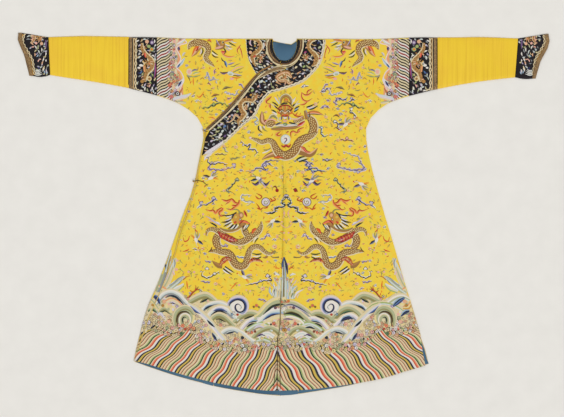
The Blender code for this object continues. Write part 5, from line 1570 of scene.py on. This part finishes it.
def sleeve_end(s):
    """The left sleeve's water stripes, froth and waves; the right sleeve mirrors them."""
    bands = rows("""
        white 1.5; crimson 1.5; white 1.4; black 1.4; cream 1.5; bronze 1.3; cream 1.5; black 1.4; cream 1.5
        bronze 1.4; white 1.5; maroon 1.5; white 1.4; pine 1.3; cream 1.5; black 1.4
    """)
    x = np.arange(156, 172.5, 1.0)
    def rail(low):
        return np.stack([x, low + 1.3 - (x - 158) * 0.56 - 0.5 * np.sin((x - 158) * 0.62 - 0.3)], 1)
    low = 30.8
    while low < 108:
        for hue, width in bands:
            lift = 1.6 if hue in DARK_STRIPES else 2.0
            lifts = [np.full(len(x), high) for high in (lift, lift + 0.8, lift)]
            s.grid([rail(low), rail(low + width / 2), rail(low + width)], lifts, [hue, hue])
            low += width
    # the sea beyond them: pale waves with dark hollows
    sew(s, """
        peach cream pink beige cream | 0.5 1 | 13 12 13 12 15 14 16 | 174.5,38 174,50 173.5,60 173.5,72
            175.5,84 176,98 172,106
        white pink | 4 | 1.5 | 181,38 186.5,42.6 180.5,44.5 176,48.5 178.6,53.5 180.6,59 178.3,63.5
            176.2,67.5 181,72.6 183.6,80 181,86 180,91 182,96.6
        mist sky white | 5 | 1 4 2.6 | 184.6,58 181.5,62.5 176.6,67.4
        blue navy | 8 | 0.5 2 0.5 | 180.4,63.6 177.6,67.6
        lavender white mist | 5 | 1 4.5 2.6 | 183.6,78 181,82.6 176,88.6
        navy navy | 8 | 0.6 2.4 0.5 | 181.6,81 178,86.5
        mist white pink | 5 | 1 4 2 | 185.6,38.5 181,41.6 177,44
        navy purple | 8 | 1 2.8 0.6 | 178.6,46.8 178.8,50.6
        lavender moss | 3 | 0.6 2.6 0.6 | 182.6,56.4 184,53.6 185.6,52.8
        mist lavender cream | 5 | 4 5 4 1.2 | 173,100 180,97.6 186,96.4 191.2,93.4
        moss cream beige | 4 | 4 4 2 | 171,103 178,102.5 186,103
        spot white ink | 10 2 | 2.4 2.4 0 0.6 | 177.6,93.7
        spot ink | 13 1 | 0.8 | 177.6,93.7
        brown salmon | 7 | 0.8 2.4 0.5 | 182.6,88 180,92 179.6,96
    """)
    rand = random.Random(5)
    fills = "peach pink cream salmon lavender sand moss lilac".split()
    edges = "umber purple crimson pine ink brown".split()
    for k in range(96):
        y = rand.uniform(37, 106)
        right = np.interp(y, (38, 44, 49, 59, 67, 80, 90, 106), (183, 178, 174, 177.6, 174.5, 180, 178, 176))
        x, r = rand.uniform(169 if y <= 92 else 169.5, right), rand.uniform(1.0, 1.9)
        curl(s, x, y, r, rand.choice(fills), rand.choice(edges), 3 + (k % 5) * 0.7, rand.uniform(0, 6))


# ---------------------------------------------------------------- the dark bands

SPECKS = rows("""
    mist grey; cream olive; lilac grey; grey ink; moss olive; white grey; grey steel; mist olive; rose umber
    grey umber; lilac navy; beige umber
""")


def specks(s, seed, box, inside, count, size, lean=60):
    """Sprays of slender two-toned leaves in the box (x, y, x, y), wherever the band is still bare."""
    rand, placed = random.Random(seed), []
    x0, y0, x1, y1 = box
    for _ in range(count * 14):
        x, y = rand.uniform(x0, x1), rand.uniform(y0, y1)
        reach = rand.uniform(*size)
        if not inside(x, y) or (int(x), int(y)) in Stitching.taken and rand.random() < 0.85:
            continue
        if any((x - a) ** 2 * 0.34 + (y - b) ** 2 < (reach + c) ** 2 * 0.09 for a, b, c in placed):
            continue
        placed.append((x, y, reach))
        hue, shade = rand.choice(SPECKS)
        turn = lean + rand.choice((0, 0, 180, 180, 120)) + rand.uniform(-18, 18)
        a = away(x, y, turn + 180, reach * 0.5)
        line = [a, away(x, y, turn + 70, 0.3), away(x, y, turn, reach * 0.5)]
        s.stroke(line, [0.5, 1.6, 0.15], (hue, shade), 1, 1.5)
        if rand.random() < 0.5:
            line = [a, away(*a, turn + 50, reach * 0.35), away(*a, turn + 38, reach * 0.7)]
            s.stroke(line, [0.4, 1.2, 0.15], (shade, hue), 1, 1.5)
        if len(placed) >= count:
            break


NECK_RIM = items("246,39.4 246.9,50 249,60 252.9,68 256.4,73.7")
CHEST_RIM = rows("""
    324.9 39.7; 322.7 53; 318.9 64.2; 308.7 76.2; 299.4 82.7; 281 89.2; 269 93; 259.7 104; 254.2 115.2
    243.2 124.4; 234.7 132.7; 224.7 142; 211.7 152.2; 203.5 156.2
""")
NECK_HOLE = (284.8, 42.9)
TRIM_SIDE = rows("284.2 66.2; 276 67.2; 268 70.4; 258 76.6; 249 86; 236 101; 222 116.6; 205 130")


def neck_under(s):
    """The wearer's right side of the neck."""
    sew(s, """
        dragon | 260.6,57.4,2.7 | 2.4 3 3.2 3.4 3.6 4.2 4 3 0.8 | 252.6,38.8 256.6,39.6 260,42.6 260.9,47
            258.4,51.2 254.6,54 252.6,57.4 253.8,62.4 255.6,66.4
        red | 9 | 1.6 1.2 | 253.4,57.4 255.8,55.4
        lilac pink | 3 | 1 1.8 0.5 | 250.6,40 250,43.6 252,46
        spot gold pine | 4 2 | 1.5 | 255,46
        spot rose | 4 2 | 1.6 | 250.4,52.4
        white | 3 | 1.3 1.3 0.4 | 263.6,42.8 264,46 263,49.4
        white | 3 | 0.8 1.1 0.8 | 249.2,56.4 250.2,60 251.8,62.6
    """)
    for x, y, hue in rows("""
        260 62 pink; 267.6 64.2 white; 259.6 67 mist; 272.4 67.4 lilac; 262.6 70.4 moss; 268.6 68.6 white
        264.6 66 cream; 257 63.8 cream; 262.4 39.8 grey; 266 39 mist
    """):
        s.disc(x, y, 1.25, hue, 3, 2, ry=0.9, turn=0.6)
    ripple(s, NECK_RIM, offset=0.9, width=1.5)
    xs, ys = zip(*NECK_RIM)
    def inside(x, y):  # beyond the froth
        return np.interp(y, ys, xs) + 2 < x
    specks(s, seed=3, box=(247, 38, 275, 75), inside=inside, count=56, size=(3.0, 4.8), lean=-22)


def neck_over(s):
    """The band from the back of the neck round the wearer's left and down the overlap."""
    sew(s, """
        dragon | 305.6,57.2,2.9 | 3 3.4 3.2 3.2 4 4.4 4 1 | 315,39.4 311,41 308.6,45.4 310.4,50 314.6,54
            317.2,58.6 315.4,63.6 311.6,66.4
        dragon cream tan rose brown | 284.6,76.8,3 | 2 4.6 5 4 3.2 3 2.6 1 | 291.4,77.4 287.4,73.4
            281.4,74.4 277.4,77.4 280.4,80.6 286,80.8 289.6,83.6 293,81.6
        dragon | 255.6,96.4,2.7 | 2 3.4 3.4 3.8 4.2 4.2 4.2 4 3 0.6 | 256,98 252.4,100.8 247.4,100.2
            243,101.2 240.8,105 242,110.4 244.6,113.8 242,118 238.6,121.4 238.8,126
        dragon rose tan rose | 246,106.6,1.6 | 1.8 2.4 1 | 246.6,106.4 244.6,108.2 247.4,109.4
        cream tan rose | 3 | 1.4 2.2 1.8 1.4 0.4 | 240,118 235.4,115 233.4,119 230,122 226.4,122.6
        rose tan | 4 | 1.6 0.6 | 276,82 281,84.6; 262.5,94 259.4,97.6; 297,74 301,71.4; 293.4,79 296.4,77
    """)
    for x, y, hue, r in rows("""
        261.4 81.4 mist 2; 269.4 78.4 lavender 1.9; 266.4 81 sky 1.2; 264 77.6 white 1.3
        273.4 81.4 white 1.2; 269 84.8 white 1.3; 265.4 87.2 mist 1.4; 258.4 86.4 pink 1.3
        305.2 52.4 magenta 1.6; 308.4 62.4 sky 1.4; 300.6 63.8 white 1.2; 296 67.4 cream 1.6
        304 66.6 leaf 1.6; 319.6 58.4 crimson 1.5; 320.4 57.6 white 0.8; 303 73.6 lavender 1.4
        299.6 76.6 white 1.2; 307 70 grey 1.6; 311.4 70.2 cream 1.2; 319.6 47.4 moss 1.8
        318.4 42.6 navy 1.6; 305.6 39.6 white 1.1; 308.6 40.4 pink 1.2; 252.4 90.4 leaf 1.8
        256.4 91.4 lilac 1.4; 251 95 gold 1.4; 221.4 124.2 lilac 1.7; 224.8 126.4 blue 1.8
        232.4 123.4 cream 1.4; 234.4 127 white 1.4; 218.6 127.6 leaf 1.5; 222.6 131 mist 1.6
        237.4 111.6 leaf 1.4; 229.6 116.6 pink 1.4; 228 119 cream 1.2; 220.6 134.8 white 1.8
        219.4 137.4 white 1.4; 225 136 purple 1.6; 229.4 135.6 white 1.3; 211.6 141 lilac 1.6
        213.6 144.4 grey 1.6; 224.4 142 leaf 1.2; 250 108.6 moss 1.5; 252.4 104.4 mist 1.6
        247.6 117.4 white 1.6; 243.6 121 mist 1.2
    """):
        s.disc(x, y, r, hue, 3, 2, ry=r * 0.6, turn=-0.6)
    for k in range(7):  # leaves, then froth that ends the band
        x, y = 212 + (k % 3) * 3.2, 130.6 + k * 1.7
        line = [(x, y), (x + 2.4, y - 0.4), (x + 4.6, y - 1.8)]
        s.stroke(line, [0.3, 1.4, 0.3], "cream+leaf" if k % 2 else "mist+grey", 3)
    for k in range(8):
        x, y = 204.4 + k * 2.2, 156.8 - k * 1.4
        s.stroke([(x, y), (x + 1.4, y - 3.6), (x + 3.6, y - 6.6)], [1.8, 1.9, 0.3], "lavender+white", 3)
    ripple(s, CHEST_RIM, offset=0.8, width=1.3, every=5, depth=0.3, hues="white+cream")
    rim, trim = (np.array(curve(line, 3)) for line in (CHEST_RIM, TRIM_SIDE))
    def inside(x, y):  # between the neck's brocade and the froth
        if y < 66:
            clear = np.hypot(x - NECK_HOLE[0], (y - NECK_HOLE[1]) * 0.78) > 20.6
            return clear and x < np.interp(y, rim[:, 1][:20], rim[:, 0][:20]) - 1.5
        a, b = (line[np.argmin(np.hypot(line[:, 0] - x, line[:, 1] - y))] for line in (rim, trim))
        return (a[0] - x) + (a[1] - y) > 2.2 and (x - b[0]) + (y - b[1]) > 2.4
    specks(s, seed=8, box=(204, 38, 324, 156), inside=inside, count=235, size=(3.0, 4.8), lean=-22)


def trim_lines(s):
    """The piping beside the brocade round the neck and down the closing, and the lines on its other side."""
    ring = items("""
        268.4,40 267.2,43 266.7,48.2 268.3,55.6 273.2,62.1 279.7,65 287.9,65.4 295.3,61.3 300,55.6 302.6,48.5
        303.2,42 303,40
    """)
    for share, hue in ((0.925, "umber"), (0.8, "black")):  # the same ring, drawn smaller round its middle: an umber line, then a black ring for the collar's inside facing, darkened as painted shade
        inner = [(284.9 + share * (x - 284.9), 43 + share * (y - 43)) for x, y in ring]
        s.stroke(inner, 1.2, hue, 3, 1)
    sew(s, """
        cream cream | 4 2 | 1.3 | 268.9,38.9 267.2,43 266.7,48.2 268.3,55.6 273.2,62.1 279.7,65 287.9,65.4
            295.3,61.3 300,55.6 302.6,48.5 303.2,42 303,38.9
        cream cream | 6 2 | 1.35 | 282,65.6 275,67.2 267,70.6 259.4,76 252,84.6 243.6,96 234,107 222,118.6
            208.6,130.5
    """)
    # lines across the sleeves, beside their trims
    for upper, lower, top, foot in ((128.9, 128.7, 39, 84.6), (132.7, 132.3, 38.6, 86)):
        line = [(upper, top), ((upper + lower) / 2, (top + foot) / 2), (lower, foot)]
        for points in (line, [(2 * SLEEVES - x, y) for x, y in line]):
            s.stroke(points, 0.8, "black", 3, 1)
    sew(s, "black | 3 1 | 1.6 2.8 1.6 | 286,66.4 288.4,65.6 290.8,64.4")
    # beside the closing's brocade: places, and how much of each shift they take across and down
    closing = rows("""
        270,66.4 1,0.4; 262,70 0.6,0.5; 255.6,75 0.8,0.3; 248,83.6 0.85,0.25; 239.4,94.4 0.8,0.3
        229.6,105.6 0.8,0.3; 218,117.4 0.7,0.3; 206.4,128 0.5,0.5
    """)
    for shift, hue in ((1.1, "umber"), (3.3, "black")):
        s.stroke([(x + shift * a, y + shift * b) for (x, y), (a, b) in closing], 0.8, hue, 5, 1)
    s.stroke([place for place, _ in closing], 0.8, "tan", 4, 1)


def froth_rims(s):
    """The pale line on the satin beside each band."""
    ripple(s, NECK_RIM, offset=-0.6, width=1.4, depth=0.4, hues="cream+white")
    ripple(s, CHEST_RIM, offset=-0.5, width=1.5, every=4.2, depth=0.25, hues="cream+cream")
    for k in range(5):
        x, y = 207 + k * 1.6, 158.5 - k * 1.2
        s.stroke([(x, y - 4), (x - 1.6, y - 1), (x - 3, y + 2.2)], [0.8, 1.7, 0.3], "lavender+white", 2)


def sleeve_band(s):
    """The left of the picture: a band 25 wide, a chain beside the brocade and a dragon in its middle."""
    sew(s, """
        tan beige | 2 1 | 1.2 | 133.7,38 133.9,50 133.6,66 133.4,80 133.6,91
        chain | 6.4 | 2.6 | 135.7,38 136,50 135.7,66 135.4,80 135.7,91
        dragon | 148.4,62.8,3.6 | 2 3 3.4 3.6 3.6 3.8 3.8 4 3.6 1.4 | 142,43 142.6,48.6 145.4,53.4
            148.6,56.6 152,60 153.4,64.4 151.4,69 147.6,72.4 145.6,77 145.2,82
        salmon red | 8 | 1.6 2.4 0.6 | 145,53 145.6,57.6
        tan peach | 5 | 3 2.6 | 144.6,66 145.2,72
        gold cream | 5 | 1.6 2 0.6 | 142.6,61 144.6,63.8 143,66.4
        magenta purple | 4 | 1 2.4 0.6 | 155,62.6 155.2,70 154.4,78.4
        spot lilac purple | 4 2 | 2.2 | 152,42.6
        spot orange leaf | 4 2 | 2.1 | 151.8,49.4
        spot leaf | 4 2 | 1.6 | 148.8,46.4
        spot rose | 4 2 | 1.9 | 147,41.6
        spot brown beige | 4 2 | 2.4 | 149.4,78.8
        spot tan | 4 2 | 1.8 | 142.2,81.4
        spot white | 4 2 | 1.9 1.3 | 141,65.4
        spot white | 4 2 | 1.4 1 | 138.8,67.8
    """)
    for x, y, turn, hue in rows("""
        139 40 200 white; 143 39.6 0 mist; 154.6 39.6 260 white; 151.6 55.2 330 white; 154.4 57.6 280 mist
        151.4 73.6 300 leaf; 139.6 90.6 350 white; 136.8 89.4 330 cream; 144.4 86.6 60 lilac
        145 90.6 80 white; 149.2 87.4 60 pink; 148.4 91.6 110 moss; 152.4 90 80 white; 154 93 100 mist
        151.4 83.6 120 leaf; 141.6 86.6 330 mist; 138.4 77 20 grey; 138 73 340 navy; 140.6 74 60 blue
        138.6 58.4 40 mist; 138.4 46.4 30 lilac; 138.6 50.6 330 white
    """):
        s.stroke([(x, y), away(x, y, turn + 15, 1.8), away(x, y, turn, 3.6)], [0.6, 1.5, 0.3], hue, 3)
    specks(s, seed=21, box=(136.5, 38, 156.4, 94), inside=lambda x, y: True, count=44, size=(2.6, 4))


def cuff(s):
    """The left of the picture: a horse-hoof cuff, its brocade on the left edge."""
    sew(s, """
        chain | 4.3 | 2.4 | 25.4,33 23.4,37.6 23.2,43 25.8,48 28.2,52 30.6,56 32.6,60.4 33.4,66 34.2,71
            35,75
        gold tan | 2 1 | 1.1 | 23.2,34 21.6,37.8 21.4,43 24,48.6 26.4,52.6 28.8,56.8 30.8,61 31.6,66 32.4,71
            33.2,75
        dragon rose brown tan pink | 39.4,38.2,3.2 | 1.6 3 3 2.6 0.8 | 29.6,33.6 32.4,34 34.2,36.6 33.4,40.4
            31.6,43.4
        cream beige | 4 | 1 2.4 1 | 36,34.6 41,35 46.4,37
        spot pink | 4 2 | 1.3 | 36.2,43.2
        spot rose | 4 2 | 1.6 | 41.6,43.6
        purple | 3 | 0.8 1.8 0.5 | 45.4,40 46,44 45.8,49
    """)
    for x, y, turn, reach, hue in rows("""
        30.4 42.6 320 4 rose; 34.6 45.6 300 4 white; 31.6 47.4 10 3 pink; 27 37 20 4 mist
        26.4 39.4 0 4 grey; 38.4 45 250 3 moss; 41.6 48 270 3.6 white; 44 49 250 4 grey; 46 52 260 4 white
        38 50 290 4 mist; 40.6 53 250 4 grey; 38.4 54.6 230 3 sky; 34.8 53 270 3.4 rose
        43.8 57.6 250 4 white; 39.2 59.4 0 2 pink; 38 62 60 3 pink; 46.2 61.6 90 2.4 white
        42 64.6 70 3.6 rose; 44.4 66 240 4 cream; 42.8 71.4 60 3.6 white; 40 68 30 3 mist
        46 69.4 270 3.6 lavender; 45 73.4 100 3 sky; 37.6 67 300 4 navy; 47.4 71.6 240 3 sky
    """):
        line = [(x, y), away(x, y, turn + 12, reach * 0.5), away(x, y, turn, reach)]
        s.stroke(line, [0.5, 1.3, 0.3], hue, 3)
    for k in range(4):
        line = [(35.4, 70.4 + k * 1.5), (38.6, 70.6 + k * 1.5), (40.6 + k * 0.6, 68.8 + k * 1.7)]
        s.stroke(line, [0.9, 1.2, 0.3], "white+mist", 3)
    def inside(x, y):  # beyond the brocade and the chain
        return x > np.interp(y, (33, 43, 52, 60, 75), (27.5, 26, 30.5, 35, 37.5))
    specks(s, seed=31, box=(26, 34, 48, 75), inside=inside, count=24, size=(2.4, 3.4))


# ---------------------------------------------------------------- the robe's edges and seams

def lining_edge(s):
    """The lining's upper side along the back hem."""
    s.marks, s.under = False, True
    sew(s, """
        blue | 0.3 0.1 | 10 | 133,362 150,366 175,374 200,381 230,387.6 250,391 265,393 284,394 300,392.4
            320,389.6 340,386.6 360,382.5 380,379 400,374 420,367 434,362
    """)


def centre_seam(s):
    """The raised seam below the neck."""
    s.marks = False
    sew(s, "satin | 0.3 0.3 | 1.6 | 284.2,80 284.2,120 284.2,184")


def hem_seam_shade(s):
    """Painted shade along the centre seam and its slit over the waves and stripes, and painted shade of two
    faint folds beside its foot.
    """
    s.marks = False
    sew(s, """
        umber olive | 24 0.6 | 0.4 1.0 1.1 1.1 0.8 | 281.2,291 280.6,300 280.4,316 279.6,328 278.2,336
        umber bronze | 24 0.6 | 0.5 0.8 0.8 0.7 | 278.6,334 277.6,340 277.4,360 277.2,389.5
        umber | 24 0.6 | 0.2 0.6 0.5 | 278.8,346 279.6,362 280.6,389.5; 275.4,362 274.8,374 273.8,389
    """)


# ---------------------------------------------------------------- the pieces

FIELD = ("body_left", "body_right", "front_overlap")
SKIRT, SHOULDERS, SLEEVES, CUFFS = 286.3, 283.4, 282.95, 283.8  # the other axes that mirror the patterns


def embroider(name, nodes, *draws, axis=None, material=None):
    """Makes a piece of embroidery on the nodes' cloth. With an axis it is the mirror image of its drawing."""
    s = Stitching(name, nodes, axis, material)
    for draw in draws:
        draw(s)
    s.make()


for side, mirrored in (("left", False), ("right", True)):
    skirt = SKIRT if mirrored else None
    embroider("hem_stripes_" + side, FIELD, hem_stripes, axis=CENTRE if mirrored else None)
    embroider("skirt_dragon_" + side, FIELD, skirt_dragon, axis=skirt)
    embroider("skirt_sky_" + side, FIELD, skirt_sky, axis=skirt)
for side, axis in (("right", None), ("left", CENTRE)):
    embroider("hem_waves_" + side, FIELD, side_rocks, froth, mottle, waves, spray, axis=axis)
embroider("hem_mountain", FIELD, mountain)
embroider("lining_edge", ("body_left", "body_right"), lining_edge, material=LINING)
embroider("centre_seam", FIELD, centre_seam, material=SATIN)
embroider("hem_seam_shade", FIELD, hem_seam_shade)
for side, axis in (("right", None), ("left", SHOULDERS)):
    embroider("shoulder_dragon_" + side, FIELD, shoulder_dragon, axis=axis)
    embroider("shoulder_sky_" + side, FIELD, shoulder_sky, axis=axis)
    embroider("sleeve_sea_" + side, FIELD, sleeve_end, axis=axis)
embroider("chest_dragon", FIELD, chest_dragon)
embroider("chest_sky", FIELD, chest_sky)
embroider("froth_rims", FIELD, froth_rims)
embroider("trim_lines", tuple(dressed), trim_lines)
embroider("neck_band_stitching_right", ("neck_band_right",), neck_under)
embroider("neck_band_stitching_left", ("neck_band_left",), neck_over)
for name, draw, middle in (("sleeve_band", sleeve_band, SLEEVES), ("cuff", cuff, CUFFS)):
    for side, axis in (("right", None), ("left", middle)):
        embroider(name + "_stitching_" + side, (name + "_" + side,), draw, axis=axis)
